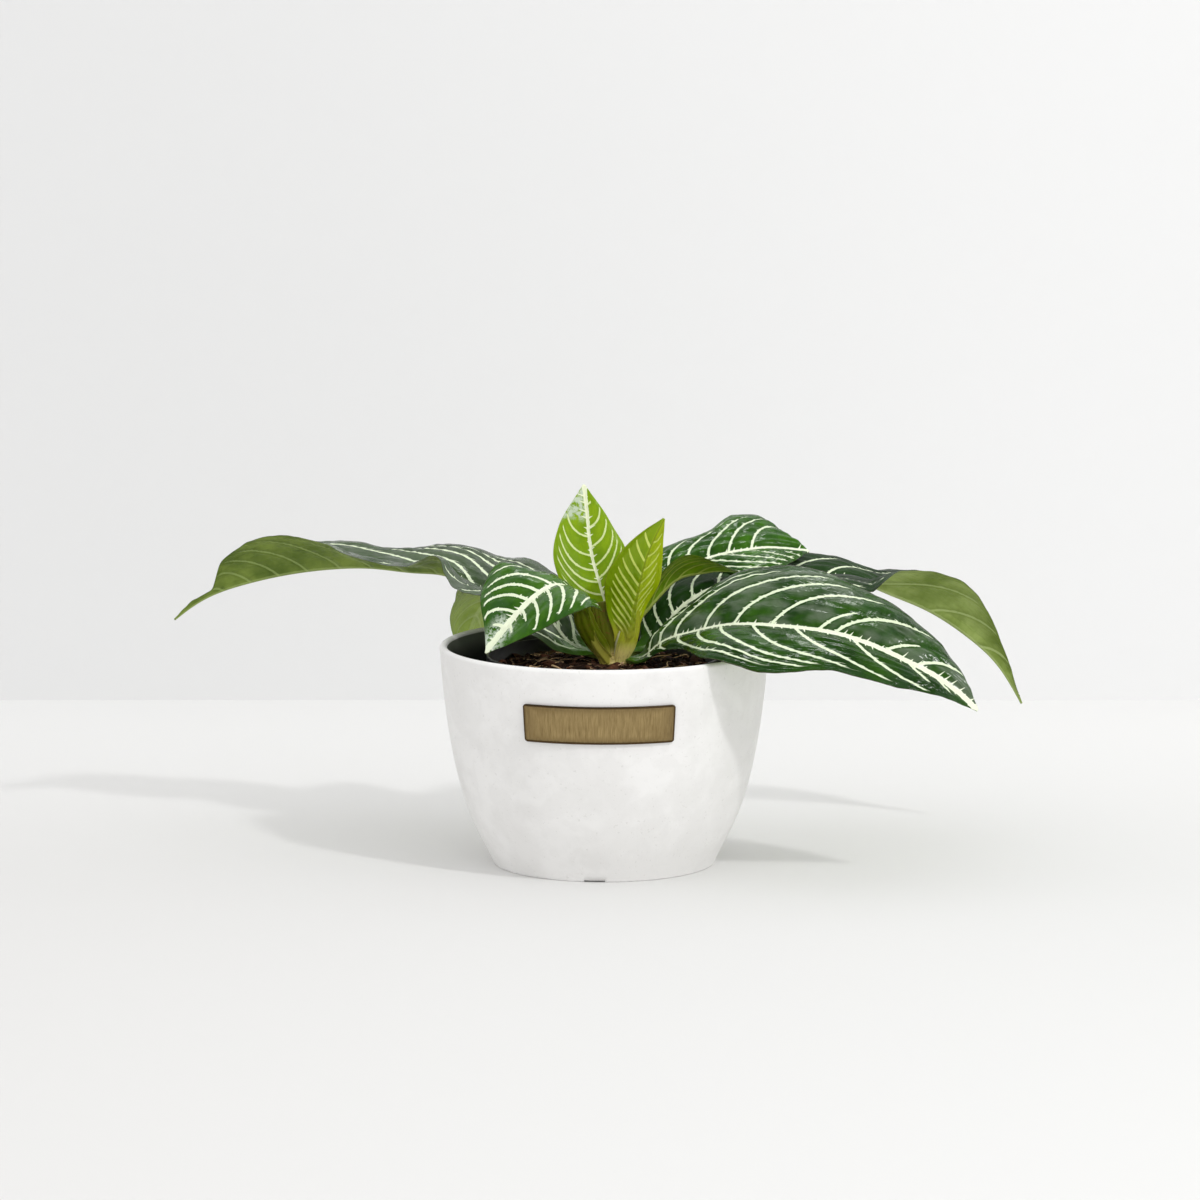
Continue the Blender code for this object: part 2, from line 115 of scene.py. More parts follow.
class Graph:
    """Writes nodes into one node tree, with short calls for what patterns need."""

    def __init__(self, tree: NodeTree) -> None:
        """Keep the shader or geometry tree to write into."""
        self.tree = tree

    def set(self, socket: NodeSocket, value: Value) -> None:
        """Feed a socket.

        Args:
            socket: the input to feed.
            value: another node's output, or a plain value.
        """
        if isinstance(value, Signal):
            self.tree.links.new(value.socket, socket)
        else:
            socket.default_value = value

    def add(self, kind: str, inputs: Optional[Inputs] = None, **settings: Any) -> Any:
        """Add a node.

        Args:
            kind: the node's type name.
            inputs: values or outputs for its inputs, by name or index.
            settings: properties of the node.

        Returns:
            The new node.
        """
        node = self.tree.nodes.new(kind)
        for name, setting in settings.items():
            setattr(node, name, setting)
        for key, value in (inputs or {}).items():
            self.set(node.inputs[key], value)
        return node

    def read(
        self, kind: str, inputs: Optional[Inputs] = None, pick: Union[str, int] = 0, **settings: Any
    ) -> Signal:
        """Add a node and return one of its outputs, picked by name or index."""
        return Signal(self, self.add(kind, inputs, **settings).outputs[pick])

    def outputs(self, node: Node) -> dict[str, Signal]:
        """Return all outputs of a node by name."""
        return {socket.name: Signal(self, socket) for socket in node.outputs}

    def math(self, operation: str, *values: Value) -> Signal:
        """Return the result of one scalar operation, named as Blender names it."""
        return self.read("ShaderNodeMath", dict(enumerate(values)), operation=operation)

    def ramp(self, value: Value, start: Value, end: Value, low: Value = 0.0, high: Value = 1.0) -> Signal:
        """Return a smooth step: low where the value is at the start, high where it is at the end."""
        inputs = dict(enumerate((value, start, end, low, high)))
        return self.read("ShaderNodeMapRange", inputs, interpolation_type="SMOOTHSTEP")

    def mix(self, factor: Value, first: Value, second: Value) -> Signal:
        """Return a blend of two colours, by the share of the second."""
        inputs = {0: factor, 6: rgba(first), 7: rgba(second)}
        return self.read("ShaderNodeMix", inputs, pick=2, data_type="RGBA")

    def blend(self, factor: Value, first: Value, second: Value) -> Signal:
        """Return a blend of two numbers, by the share of the second."""
        return self.read("ShaderNodeMix", {0: factor, 2: first, 3: second}, data_type="FLOAT")

    def noise(self, where: Value, scale: Value, detail: float, roughness: float) -> Signal:
        """Return noise from 0 to 1, by its features to a metre, its octaves and what each octave keeps."""
        inputs = {"Vector": where, "Scale": scale, "Detail": detail, "Roughness": roughness}
        return self.read("ShaderNodeTexNoise", inputs, pick="Fac")

    def random(self, first: Value, second: Value) -> Signal:
        """Return a random number from 0 to 1 for a pair of whole numbers."""
        pair = self.joined(first, second)
        return self.read("ShaderNodeTexWhiteNoise", {"Vector": pair}, noise_dimensions="2D")

    def attribute(self, name: str) -> Signal:
        """Return a number stored on the mesh."""
        return self.read("ShaderNodeAttribute", pick="Fac", attribute_name=name)

    def place(self) -> Signal:
        """Return the piece's own coordinates."""
        return self.read("ShaderNodeTexCoord", pick="Object")

    def stretched(self, where: Value, scale: Sequence[float]) -> Signal:
        """Return coordinates scaled along each axis."""
        return self.read("ShaderNodeMapping", {"Vector": where, "Scale": scale})

    def joined(self, *values: Value) -> Signal:
        """Return a vector made of up to three numbers."""
        return self.read("ShaderNodeCombineXYZ", dict(enumerate(values)))

    def parts(self, vector: Value) -> list[Signal]:
        """Return the three numbers of a vector."""
        return list(self.outputs(self.add("ShaderNodeSeparateXYZ", {0: vector})).values())


def rgba(colour: Value) -> Value:
    """Return a colour with an alpha of 1, or the signal it is."""
    return colour if isinstance(colour, Signal) else (*colour[:3], 1.0)


def group_tree(
    name: str, kind: str, inputs: dict[str, tuple[str, Any]], outputs: dict[str, str]
) -> tuple[Graph, dict[str, Signal], Any]:
    """Start a node group with named sockets.

    Args:
        name: the group's name.
        kind: ShaderNodeTree or GeometryNodeTree.
        inputs: the socket type and default of each input.
        outputs: the socket type of each output.

    Returns:
        The graph, its inputs by name and the sockets of its output node.
    """
    tree = bpy.data.node_groups.new(name, kind)
    for label, (socket_type, default) in inputs.items():
        socket = tree.interface.new_socket(label, in_out="INPUT", socket_type=socket_type)
        if default is not None:
            socket.default_value = default
    for label, socket_type in outputs.items():
        tree.interface.new_socket(label, in_out="OUTPUT", socket_type=socket_type)
    graph = Graph(tree)
    return graph, graph.outputs(graph.add("NodeGroupInput")), graph.add("NodeGroupOutput").inputs


FLOAT = "NodeSocketFloat"
VECTOR = "NodeSocketVector"
GEOMETRY = "NodeSocketGeometry"
MATERIAL = "NodeSocketMaterial"


# ---- Shared shader groups ----


class Effects:
    """Shader groups that more than one material uses, each built on first use."""

    @staticmethod
    def use(graph: Graph, build: Callable[[], NodeTree], inputs: Inputs) -> dict[str, Signal]:
        """Place a group in a material.

        Args:
            graph: the material's graph.
            build: the function that builds the group, named after it.
            inputs: values for the group's inputs.

        Returns:
            The group's outputs by name.
        """
        tree = bpy.data.node_groups.get(build.__name__) or build()
        node = graph.add("ShaderNodeGroup", inputs, node_tree=tree)
        return graph.outputs(node)

    @staticmethod
    def mottle() -> NodeTree:
        """Cloudy variation: a broad mask, a fine mask and a speckle.

        Returns:
            The group's tree.
        """
        graph, given, result = group_tree(
            "mottle",
            "ShaderNodeTree",
            {"Vector": (VECTOR, None), "Scale": (FLOAT, 30.0), "Speckle Scale": (FLOAT, 900.0)},
            {"Broad": FLOAT, "Fine": FLOAT, "Speckle": FLOAT},
        )
        where, scale = given["Vector"], given["Scale"]
        inputs = {"Vector": where, "Scale": scale, "Detail": 2.0}
        warp = graph.read("ShaderNodeTexNoise", inputs, pick="Color")
        shift = graph.read("ShaderNodeVectorMath", {0: warp, 1: (0.02, 0.02, 0.02)}, operation="MULTIPLY")
        warped = graph.read("ShaderNodeVectorMath", {0: where, 1: shift}, operation="ADD")
        graph.set(result["Broad"], graph.ramp(graph.noise(warped, scale, 4.0, 0.6), 0.35, 0.65))
        graph.set(result["Fine"], graph.noise(warped, scale * 7.0, 5.0, 0.65))
        dots = graph.noise(where, given["Speckle Scale"], 2.0, 0.4)
        graph.set(result["Speckle"], graph.ramp(dots, 0.66, 0.74))
        return graph.tree

    @staticmethod
    def leaf_pattern() -> NodeTree:
        """The pattern of a zebra plant's leaf, from the leaf's own measures.

        Returns:
            The group's tree.
        """
        inputs = {
            "Phase": (FLOAT, 0.0),
            "Scale": (FLOAT, 0.01),
            "Run": (FLOAT, 0.0),
            "Reach": (FLOAT, 1.0),
            "Across": (FLOAT, 0.0),
            "Along": (FLOAT, 0.0),
            "Share": (FLOAT, 0.0),
            "Margin": (FLOAT, 0.0),
            "Midrib Foot": (FLOAT, 0.001),
            "Midrib Tip": (FLOAT, 0.001),
            "Lateral": (FLOAT, 0.0008),
            "Midrib Thorn": (FLOAT, 0.002),
            "Thorn": (FLOAT, 0.001),
            "Speckle": (FLOAT, 0.3),
            "Seed": (FLOAT, 0.0),
        }
        outputs = dict.fromkeys(("Midrib", "Laterals", "Speckles", "Lateral Distance", "Rungs"), FLOAT)
        graph, given, result = group_tree("leaf_pattern", "ShaderNodeTree", inputs, outputs)
        math = graph.math
        soft = 0.1 * MM
        thorn_soft, thorn_half, thorn_point = 0.08 * MM, 0.42 * MM, 0.03 * MM
        midrib_thorn_step, lateral_thorn_step, rung_step = 3.8 * MM, 4.3 * MM, 6.5 * MM
        where = graph.joined(given["Along"], given["Across"], given["Seed"])
        ragged = graph.noise(where, 380.0, 2.0, 0.6) - 0.5
        reach = abs(given["Across"])

        def thorns(
            distance: Value, run: Value, width: Value, length: Value, line: Value, step: float, lean: float
        ) -> Signal:
            """Draw thorns that start on a vein and taper away from it.

            Args:
                distance: how far the vein's middle is.
                run: the way along the vein.
                width: the vein's half width.
                length: a thorn's greatest length.
                line: the vein's own number.
                step: one thorn to each of these.
                lean: how far a thorn leans forward.

            Returns:
                The thorns' mask.
            """
            place = run / step
            cell = math("FLOOR", place)
            chance = graph.random(cell + given["Seed"], line)
            second = graph.random(cell + 31.0, line)
            tall = length * chance ** 1.8
            centre = 0.3 + second * 0.4
            offset = (math("FRACT", place) - centre) * step
            away = distance - width
            slanted = abs(offset - away * lean)
            left = 1.0 - away / math("MAXIMUM", tall, 1e-05)
            half = left * thorn_half + thorn_point
            drawn = graph.ramp(slanted, half + thorn_soft, half - thorn_soft)
            return drawn * graph.ramp(left, 0.0, 0.12)

        spread = given["Share"] ** 1.3
        midrib_half = graph.blend(spread, given["Midrib Foot"], given["Midrib Tip"])
        midrib_edge = reach + ragged * (midrib_half * 0.9)
        midrib = graph.ramp(midrib_edge, midrib_half + soft, midrib_half - soft)
        side = math("SIGN", given["Across"]) * 7.0
        growing = given["Midrib Thorn"] * (0.45 + given["Share"])
        midrib_thorns = thorns(reach, given["Along"], midrib_half, growing, side, midrib_thorn_step, 0.45)
        graph.set(result["Midrib"], math("MAXIMUM", midrib, midrib_thorns))

        centred = math("FRACT", given["Phase"] + 0.5) - 0.5
        distance = abs(centred) * given["Scale"]
        index = math("FLOOR", given["Phase"] + 0.5)
        past = given["Margin"] / given["Reach"]
        taper = graph.ramp(past, 1.0, 0.55, 0.45, 1.0)
        wobble = 0.92 + ragged
        half = given["Lateral"] * taper * wobble
        line = graph.ramp(distance, half + soft, half - soft)
        ends = 1.0 - graph.random(index, 3.0) * 0.1
        kept = graph.ramp(past, ends, ends - 0.04)
        line_side = index * 3.0 + (side + math("SIGN", centred))
        lateral_thorns = thorns(
            distance, given["Run"], half, given["Thorn"], line_side, lateral_thorn_step, -0.4
        )
        graph.set(result["Laterals"], kept * math("MAXIMUM", line, lateral_thorns))
        graph.set(result["Lateral Distance"], distance)

        strip = math("FLOOR", given["Phase"])
        shift = graph.random(strip, side)
        bend = (graph.noise(where, 130.0, 2.0, 0.5) - 0.5) * 1.2
        rung = abs(math("FRACT", given["Run"] / rung_step + shift + bend) - 0.5) * 2.0
        graph.set(result["Rungs"], graph.ramp(rung, 0.70, 1.0))

        near = graph.ramp(distance, 4.5 * MM, 0.5 * MM)
        dots = graph.noise(where, 1500.0, 1.0, 0.5)
        level = 0.86 - given["Speckle"] * (near * 0.3)
        graph.set(result["Speckles"], graph.ramp(dots, level, level + 0.05))
        return graph.tree


def mottled(graph: Graph, place: Signal, scale: float, speckle_scale: float) -> dict[str, Signal]:
    """Return the masks of a mottle: Broad, Fine and Speckle."""
    inputs = {"Vector": place, "Scale": scale, "Speckle Scale": speckle_scale}
    return Effects.use(graph, Effects.mottle, inputs)


# ---- Finishes ----


@dataclass(frozen=True)
class Finish:
    """What every finish has: a name, a roughness and a specular level for its Principled shader."""

    name: str
    roughness: float = 0.5
    specular: float = 0.5
    metallic: float = 0.0

    def material(self) -> Material:
        """Build the finish's material on first use.

        Returns:
            The material.
        """
        found = bpy.data.materials.get(self.name)
        if found:
            return found
        made = bpy.data.materials.new(self.name)
        made.use_nodes = True
        shader = made.node_tree.nodes["Principled BSDF"]
        shader.inputs["Roughness"].default_value = self.roughness
        shader.inputs["Specular IOR Level"].default_value = self.specular
        shader.inputs["Metallic"].default_value = self.metallic
        self.paint(Graph(made.node_tree), shader.inputs)
        return made

    def paint(self, graph: Graph, shader: Any) -> None:
        """Write the finish's pattern into the material's graph and feed the Principled shader's inputs."""
        raise NotImplementedError

    @staticmethod
    def bump(graph: Graph, shader: Any, height: Value, distance: float, strength: float) -> None:
        """Feed the shader's normal with a relief from 0 to 1, whose full depth is the distance."""
        inputs = {"Height": height, "Distance": distance, "Strength": strength}
        graph.set(shader["Normal"], graph.read("ShaderNodeBump", inputs))


@dataclass(frozen=True)
class StoneFinish(Finish):
    """Cast stone and resin: pale outside with cloudy patches, and painted shade inside that lightens towards
    the lip.
    """

    pale: Colour = (0.90, 0.892, 0.88)
    cloud: Colour = (0.79, 0.78, 0.765)
    fleck: Colour = (0.52, 0.51, 0.48)
    # Painted shade inside the bowl: near black deep down, lighter just under the lip.
    inside: Colour = (0.010, 0.014, 0.008)
    inside_lip: Colour = (0.13, 0.15, 0.11)
    lip_height: float = 0.1062
    dark_height: float = 0.095

    def paint(self, graph: Graph, shader: Any) -> None:
        """Write clouds, specks and the painted shade inside.

        Args:
            graph: the material's graph.
            shader: the Principled shader's inputs.
        """
        place = graph.place()
        clouds = mottled(graph, place, 24.0, 700.0)
        patches = mottled(graph, place, 70.0, 260.0)
        skin = graph.mix(graph.ramp(clouds["Broad"], 0.0, 1.0) * 0.5, self.pale, self.cloud)
        skin = graph.mix(graph.ramp(patches["Broad"], 0.2, 1.0) * 0.3, skin, self.cloud)
        veins = graph.ramp(clouds["Fine"], 0.56, 0.70)
        skin = graph.mix(veins * 0.22, skin, self.cloud)
        skin = graph.mix(clouds["Speckle"] * 0.22, skin, self.fleck)
        # Painted shade inside the bowl: darkest deep down, lightening towards the lip.
        height = graph.parts(place)[2]
        lit = graph.ramp(height, self.dark_height, self.lip_height)
        painted_shade_lining = graph.mix(lit, self.inside, self.inside_lip)
        graph.set(shader["Base Color"], graph.mix(graph.attribute("inside"), skin, painted_shade_lining))
        gloss = graph.blend(clouds["Fine"], self.roughness - 0.06, self.roughness + 0.12)
        graph.set(shader["Roughness"], gloss)
        relief = clouds["Fine"] + clouds["Speckle"] * -0.6
        self.bump(graph, shader, relief, 0.12 * MM, 0.6)


@dataclass(frozen=True)
class BrassFinish(Finish):
    """Brushed antique brass: fine grain across the short side, and painted shade towards its top, bottom and
    ends.
    """

    bright: Colour = (0.52, 0.385, 0.18)
    # Painted shade towards the plate's top, bottom and ends.
    patina: Colour = (0.11, 0.072, 0.032)
    dark: Colour = (0.25, 0.175, 0.075)
    edge: Colour = (0.10, 0.065, 0.032)

    def paint(self, graph: Graph, shader: Any) -> None:
        """Write the grain, the tarnish, the painted shade towards the top, bottom and ends, and the dark
        edge.

        Args:
            graph: the material's graph.
            shader: the Principled shader's inputs.
        """
        place = graph.place()
        along, up, border = graph.attribute("along"), graph.attribute("up"), graph.attribute("border")
        flat = graph.joined(along, up)
        grain = graph.noise(graph.stretched(flat, (1.0, 0.05, 1.0)), 2600.0, 3.0, 0.7)
        streaks = graph.noise(graph.stretched(flat, (1.0, 0.10, 1.0)), 900.0, 3.0, 0.6)
        tarnish = graph.noise(place, 70.0, 4.0, 0.6)
        tone = streaks * 0.45 + grain * 0.55
        metal = graph.mix(graph.ramp(tone, 0.28, 0.70), self.dark, self.bright)
        metal = graph.mix(graph.ramp(tarnish, 0.45, 0.7) * 0.45, metal, self.dark)
        # Painted shade: darker towards the plate's top, bottom and ends, broken up by the brushed streaks.
        high = graph.ramp(abs(up), 4.5 * MM, 9.2 * MM)
        wide = graph.ramp(abs(along), 28 * MM, 37 * MM)
        painted_shade_mask = graph.math("MAXIMUM", high, wide) * graph.ramp(streaks, 0.3, 0.62)
        metal = graph.mix(painted_shade_mask * 0.6, metal, self.patina)
        metal = graph.mix(graph.ramp(border, 0.0, 1.0), metal, self.edge)
        graph.set(shader["Base Color"], metal)
        graph.set(shader["Roughness"], graph.blend(grain, self.roughness - 0.08, self.roughness + 0.15))
        self.bump(graph, shader, grain, 0.05 * MM, 0.7)


@dataclass(frozen=True)
class PlasticFinish(Finish):
    """Thin black moulded plastic with a faint dusty film."""

    colour: Colour = (0.012, 0.013, 0.013)
    dust: Colour = (0.045, 0.042, 0.038)

    def paint(self, graph: Graph, shader: Any) -> None:
        """Write the dust and a fine moulded texture.

        Args:
            graph: the material's graph.
            shader: the Principled shader's inputs.
        """
        place = graph.place()
        clouds = mottled(graph, place, 60.0, 1500.0)
        graph.set(shader["Base Color"], graph.mix(clouds["Broad"] * 0.4, self.colour, self.dust))
        gloss = graph.blend(clouds["Fine"], self.roughness - 0.1, self.roughness + 0.1)
        graph.set(shader["Roughness"], gloss)
        self.bump(graph, shader, clouds["Fine"], 0.08 * MM, 0.5)


@dataclass(frozen=True)
class EarthFinish(Finish):
    """Peat, bark and coir: two tones that change from grain to grain."""

    deep: Colour = (0.009, 0.005, 0.004)
    warm: Colour = (0.055, 0.021, 0.011)
    scale: float = 500.0
    light: float = 0.3
    speck: Colour = (0.22, 0.15, 0.09)

    def paint(self, graph: Graph, shader: Any) -> None:
        """Write the tones and a gritty relief.

        Args:
            graph: the material's graph.
            shader: the Principled shader's inputs.
        """
        place = graph.place()
        clouds = mottled(graph, place, self.scale / 4, 1800.0)
        tone = clouds["Broad"] * graph.ramp(clouds["Fine"], 0.3, 0.7)
        soil = graph.mix(tone, self.deep, self.warm)
        graph.set(shader["Base Color"], graph.mix(clouds["Speckle"] * self.light, soil, self.speck))
        self.bump(graph, shader, clouds["Fine"], 0.6 * MM, 0.8)


@dataclass(frozen=True)
class FibreFinish(Finish):
    """Coir fibre: a tan strand whose tone changes from fibre to fibre."""

    light: Colour = (0.86, 0.58, 0.32)
    dark: Colour = (0.05, 0.024, 0.012)

    def paint(self, graph: Graph, shader: Any) -> None:
        """Write one tone for each fibre and a fine grain along it.

        Args:
            graph: the material's graph.
            shader: the Principled shader's inputs.
        """
        place = graph.place()
        tone = graph.attribute("tone")
        grain = graph.noise(place, 1200.0, 2.0, 0.6)
        lightness = graph.ramp(tone, 0.45, 0.85) * graph.ramp(grain, 0.1, 0.5)
        graph.set(shader["Base Color"], graph.mix(lightness, self.dark, self.light))
        self.bump(graph, shader, grain, 0.1 * MM, 0.6)


@dataclass(frozen=True)
class StemFinish(Finish):
    """Stem skin: cream and tan at the foot, with brown scars, turning yellow-green."""

    foot: Colour = (0.92, 0.78, 0.28)
    top: Colour = (0.30, 0.32, 0.02)
    scar: Colour = (0.20, 0.08, 0.025)
    foot_height: float = 0.100
    top_height: float = 0.110
    scars: float = 0.75
    pale: Colour = (0.72, 0.70, 0.42)
    pale_from: float = 2.0

    def paint(self, graph: Graph, shader: Any) -> None:
        """Write the change of colour with height, the streaks and the scars.

        Args:
            graph: the material's graph.
            shader: the Principled shader's inputs.
        """
        place = graph.place()
        height = graph.parts(place)[2]
        clouds = mottled(graph, place, 260.0, 1400.0)
        streaks = graph.noise(graph.stretched(place, (1.0, 1.0, 0.15)), 900.0, 3.0, 0.6)
        skin = graph.mix(graph.ramp(height, self.foot_height, self.top_height), self.foot, self.top)
        skin = graph.mix(graph.ramp(streaks, 0.5, 0.7) * 0.25, skin, self.scar)
        scars = graph.ramp(graph.noise(graph.stretched(place, (1.0, 1.0, 2.2)), 330.0, 2.0, 0.5), 0.60, 0.68)
        skin = graph.mix(scars * self.scars, skin, self.scar)
        if self.pale_from < 1:
            edge = graph.ramp(graph.attribute("side"), self.pale_from, self.pale_from + 0.12)
            skin = graph.mix(edge * 0.85, skin, self.pale)
        graph.set(shader["Base Color"], skin)
        self.bump(graph, shader, clouds["Fine"], 0.2 * MM, 0.6)


@dataclass(frozen=True)
class LeafFinish(Finish):
    """One side of one leaf: the blade's colours and how its veins are drawn."""

    blade: Colour = (0.014, 0.060, 0.010)
    shade: Colour = (0.008, 0.032, 0.008)
    # Painted sheen: pale clouds over the blade that stand for glossy reflections.
    bloom: Colour = (0.10, 0.16, 0.10)
    bloom_amount: float = 0.0
    foot: Colour = (0.20, 0.24, 0.02)
    foot_share: float = 0.12
    vein: Colour = (0.78, 0.86, 0.62)
    lateral_tone: Colour = (0.78, 0.86, 0.62)
    silver: Colour = (0.62, 0.70, 0.58)
    silver_from: float = 2.0
    silver_side: Optional[Side] = None
    silver_reach: float = 0.04
    # Painted light on one half of the leaf: a colour laid over the whole half paints shade, laid in patches
    # between the veins it paints sheen.
    toned_side: Optional[Side] = None
    side_tone: Colour = (0.10, 0.14, 0.08)
    side_amount: float = 0.5
    side_patches: float = 1.0
    midrib_foot: float = 0.8 * MM
    midrib_tip: float = 1.2 * MM
    lateral: float = 0.7 * MM
    midrib_thorn: float = 2.4 * MM
    thorn: float = 1.1 * MM
    speckle: float = 0.35
    vein_strength: float = 1.0
    relief: float = 0.5 * MM
    raised: float = -1.0
    net: float = 0.5
    edge: Colour = (0.05, 0.045, 0.012)
    seed: float = 0.0

    def paint(self, graph: Graph, shader: Any) -> None:
        """Write the blade, its veins, its net of small veins and its relief.

        Args:
            graph: the material's graph.
            shader: the Principled shader's inputs.
        """
        math = graph.math
        measures = ("vein_phase", "vein_scale", "vein_run", "vein_reach")
        measures += ("across", "along", "share", "margin")
        given: Inputs = {name.removeprefix("vein_").title(): graph.attribute(name) for name in measures}
        share, margin, across = given["Share"], given["Margin"], given["Across"]
        for name in ("midrib_foot", "midrib_tip", "lateral", "midrib_thorn", "thorn", "speckle", "seed"):
            given[name.replace("_", " ").title()] = getattr(self, name)
        pattern = Effects.use(graph, Effects.leaf_pattern, given)
        flat = graph.joined(given["Along"], across, self.seed)
        broad = graph.noise(flat, 55.0, 3.0, 0.6)
        skin = graph.mix(graph.ramp(broad, 0.3, 0.7), self.shade, self.blade)
        near_vein = graph.ramp(pattern["Lateral Distance"], 2.6 * MM, 0.8 * MM)
        skin = graph.mix(near_vein * 0.35, skin, self.shade)
        # Painted sheen: pale clouds over the blade.
        cloud = graph.ramp(graph.noise(flat, 75.0, 3.0, 0.6), 0.46, 0.66) * self.bloom_amount
        skin = graph.mix(cloud, skin, self.bloom)
        # Painted light on one half: shade over the whole half, sheen in patches away from the veins.
        if self.toned_side:
            drawn_out = graph.stretched(flat, (0.5, 1.0, 1.0))
            patches = graph.ramp(graph.noise(drawn_out, 110.0, 2.0, 0.5), 0.40, 0.62)
            patches = patches * graph.ramp(pattern["Lateral Distance"], 0.6 * MM, 2.2 * MM)
            toned = graph.ramp(across * float(self.toned_side.value), -0.4 * MM, 0.8 * MM)
            toned = toned * graph.blend(self.side_patches, 1.0, patches)
            skin = graph.mix(toned * self.side_amount, skin, self.side_tone)
        # Painted shade along the quilt's cross creases, the rungs that the bump sinks.
        skin = graph.mix(pattern["Rungs"] * 0.15, skin, self.shade)
        cells = {"Vector": flat, "Scale": 330.0}
        net = graph.read("ShaderNodeTexVoronoi", cells, pick="Distance", feature="DISTANCE_TO_EDGE")
        lines = graph.ramp(net, 0.09, 0.0)
        skin = graph.mix(lines * (self.net * 0.22), skin, self.shade)
        if self.silver_from < 1:
            ragged = share + (graph.noise(flat, 120.0, 3.0, 0.6) - 0.5) * 0.16
            silver = graph.ramp(ragged, self.silver_from, self.silver_from + 0.05)
            silver = silver * graph.ramp(graph.noise(flat, 420.0, 3.0, 0.6), 0.38, 0.56)
            if self.silver_side:
                on_side = graph.ramp(across * float(self.silver_side.value), -0.6 * MM, 0.6 * MM)
                silver = silver * on_side
            near_midrib = graph.ramp(abs(across), self.silver_reach, self.silver_reach * 0.4)
            skin = graph.mix(silver * near_midrib * 0.85, skin, self.silver)
        skin = graph.mix(pattern["Speckles"] * 0.7, skin, self.lateral_tone)
        skin = graph.mix(pattern["Laterals"] * self.vein_strength, skin, self.lateral_tone)
        skin = graph.mix(pattern["Midrib"] * self.vein_strength, skin, self.vein)
        skin = graph.mix(graph.ramp(share, self.foot_share, self.foot_share * 0.3), skin, self.foot)
        edge = graph.ramp(margin, 0.972, 0.992)
        skin = graph.mix(edge * 0.6, skin, self.edge)
        graph.set(shader["Base Color"], skin)
        drawn = math("MAXIMUM", pattern["Laterals"], pattern["Midrib"])
        gloss = graph.blend(drawn, self.roughness, self.roughness + 0.15)
        graph.set(shader["Roughness"], gloss + (broad - 0.5) * 0.1)
        groove = graph.ramp(pattern["Lateral Distance"], 2.4 * MM, 0.0)
        height = groove * self.raised - pattern["Rungs"] * 0.15
        height = height + graph.ramp(net, 0.0, 0.3) * (0.2 * self.net)
        height = height + graph.noise(flat, 230.0, 2.0, 0.5) * 0.35
        self.bump(graph, shader, height, self.relief, 0.8)


# ---- Meshes ----


def new_object(name: str, mesh: Mesh) -> Object:
    """Link a mesh into the scene as an object at the origin.

    Args:
        name: the object's name.
        mesh: its mesh.

    Returns:
        The object.
    """
    obj = bpy.data.objects.new(name, mesh)
    bpy.context.scene.collection.objects.link(obj)
    return obj


def place_piece(obj: Object, slot: str, *nodes: str) -> None:
    """Make a finished piece part of the model.

    Args:
        obj: the piece.
        slot: the record's material slot; not used.
        nodes: the CAD nodes it stands for.
    """
    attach(obj, BODY)
    if nodes:
        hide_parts(*nodes)
    LOG.info("%s: %d faces", obj.name, len(obj.data.polygons))


def store(mesh: Mesh, name: str, values: np.ndarray, domain: str = "POINT") -> None:
    """Store one number, or one vector, for each point or corner.

    Args:
        mesh: the mesh.
        name: the attribute's name.
        values: an array with a row for each element.
        domain: POINT or CORNER.
    """
    vector = values.ndim == 2
    attribute = mesh.attributes.new(name, "FLOAT_VECTOR" if vector else "FLOAT", domain)
    attribute.data.foreach_set("vector" if vector else "value", values.astype(np.float32).ravel())


def settle(obj: Object, tree: NodeTree, inputs: dict[str, Any]) -> None:
    """Run a geometry tree on an object and keep its result as a plain mesh.

    Args:
        obj: the object.
        tree: the geometry tree.
        inputs: values for the tree's named inputs.
    """
    modifier = obj.modifiers.new(tree.name, "NODES")
    modifier.node_group = tree
    for item in tree.interface.items_tree:
        if item.item_type == "SOCKET" and item.in_out == "INPUT" and item.name in inputs:
            modifier[item.identifier] = inputs[item.name]
    keep_result(obj)


def keep_result(obj: Object) -> None:
    """Make what an object's one modifier gives its own plain mesh.

    Args:
        obj: the object, which loses the modifier.
    """
    bpy.context.view_layer.update()
    mesh = bpy.data.meshes.new_from_object(obj.evaluated_get(bpy.context.evaluated_depsgraph_get()))
    mesh.name = obj.name
    obj.modifiers.clear()
    obj.data = mesh


def turned_mesh(name: str, profile: Sequence[tuple[float, float]], segments: int) -> Mesh:
    """Spin a closed outline of (radius, height) around the Z axis.

    Args:
        name: the mesh's name.
        profile: the outline, from the axis at the bottom, outside first.
        segments: how many steps a turn has.

    Returns:
        The mesh, closed, with its faces outwards.
    """
    bm = bmesh.new()
    outline = [bm.verts.new((radius, 0, height)) for radius, height in profile]
    edges = [bm.edges.new(pair) for pair in zip(outline, outline[1:])]
    around = dict(axis=(0, 0, 1), cent=(0, 0, 0), angle=2 * pi)
    bmesh.ops.spin(bm, geom=outline + edges, steps=segments, use_merge=True, **around)
    bmesh.ops.remove_doubles(bm, verts=bm.verts, dist=0.005 * MM)
    bmesh.ops.recalc_face_normals(bm, faces=bm.faces)
    mesh = bpy.data.meshes.new(name)
    bm.to_mesh(mesh)
    bm.free()
    mesh.shade_smooth()
    return mesh


def mesh_points(mesh: Mesh) -> np.ndarray:
    """Read a mesh's points.

    Args:
        mesh: the mesh.

    Returns:
        A row of three numbers for each point.
    """
    points = np.empty(len(mesh.vertices) * 3, np.float32)
    mesh.vertices.foreach_get("co", points)
    return points.reshape(-1, 3).astype(float)


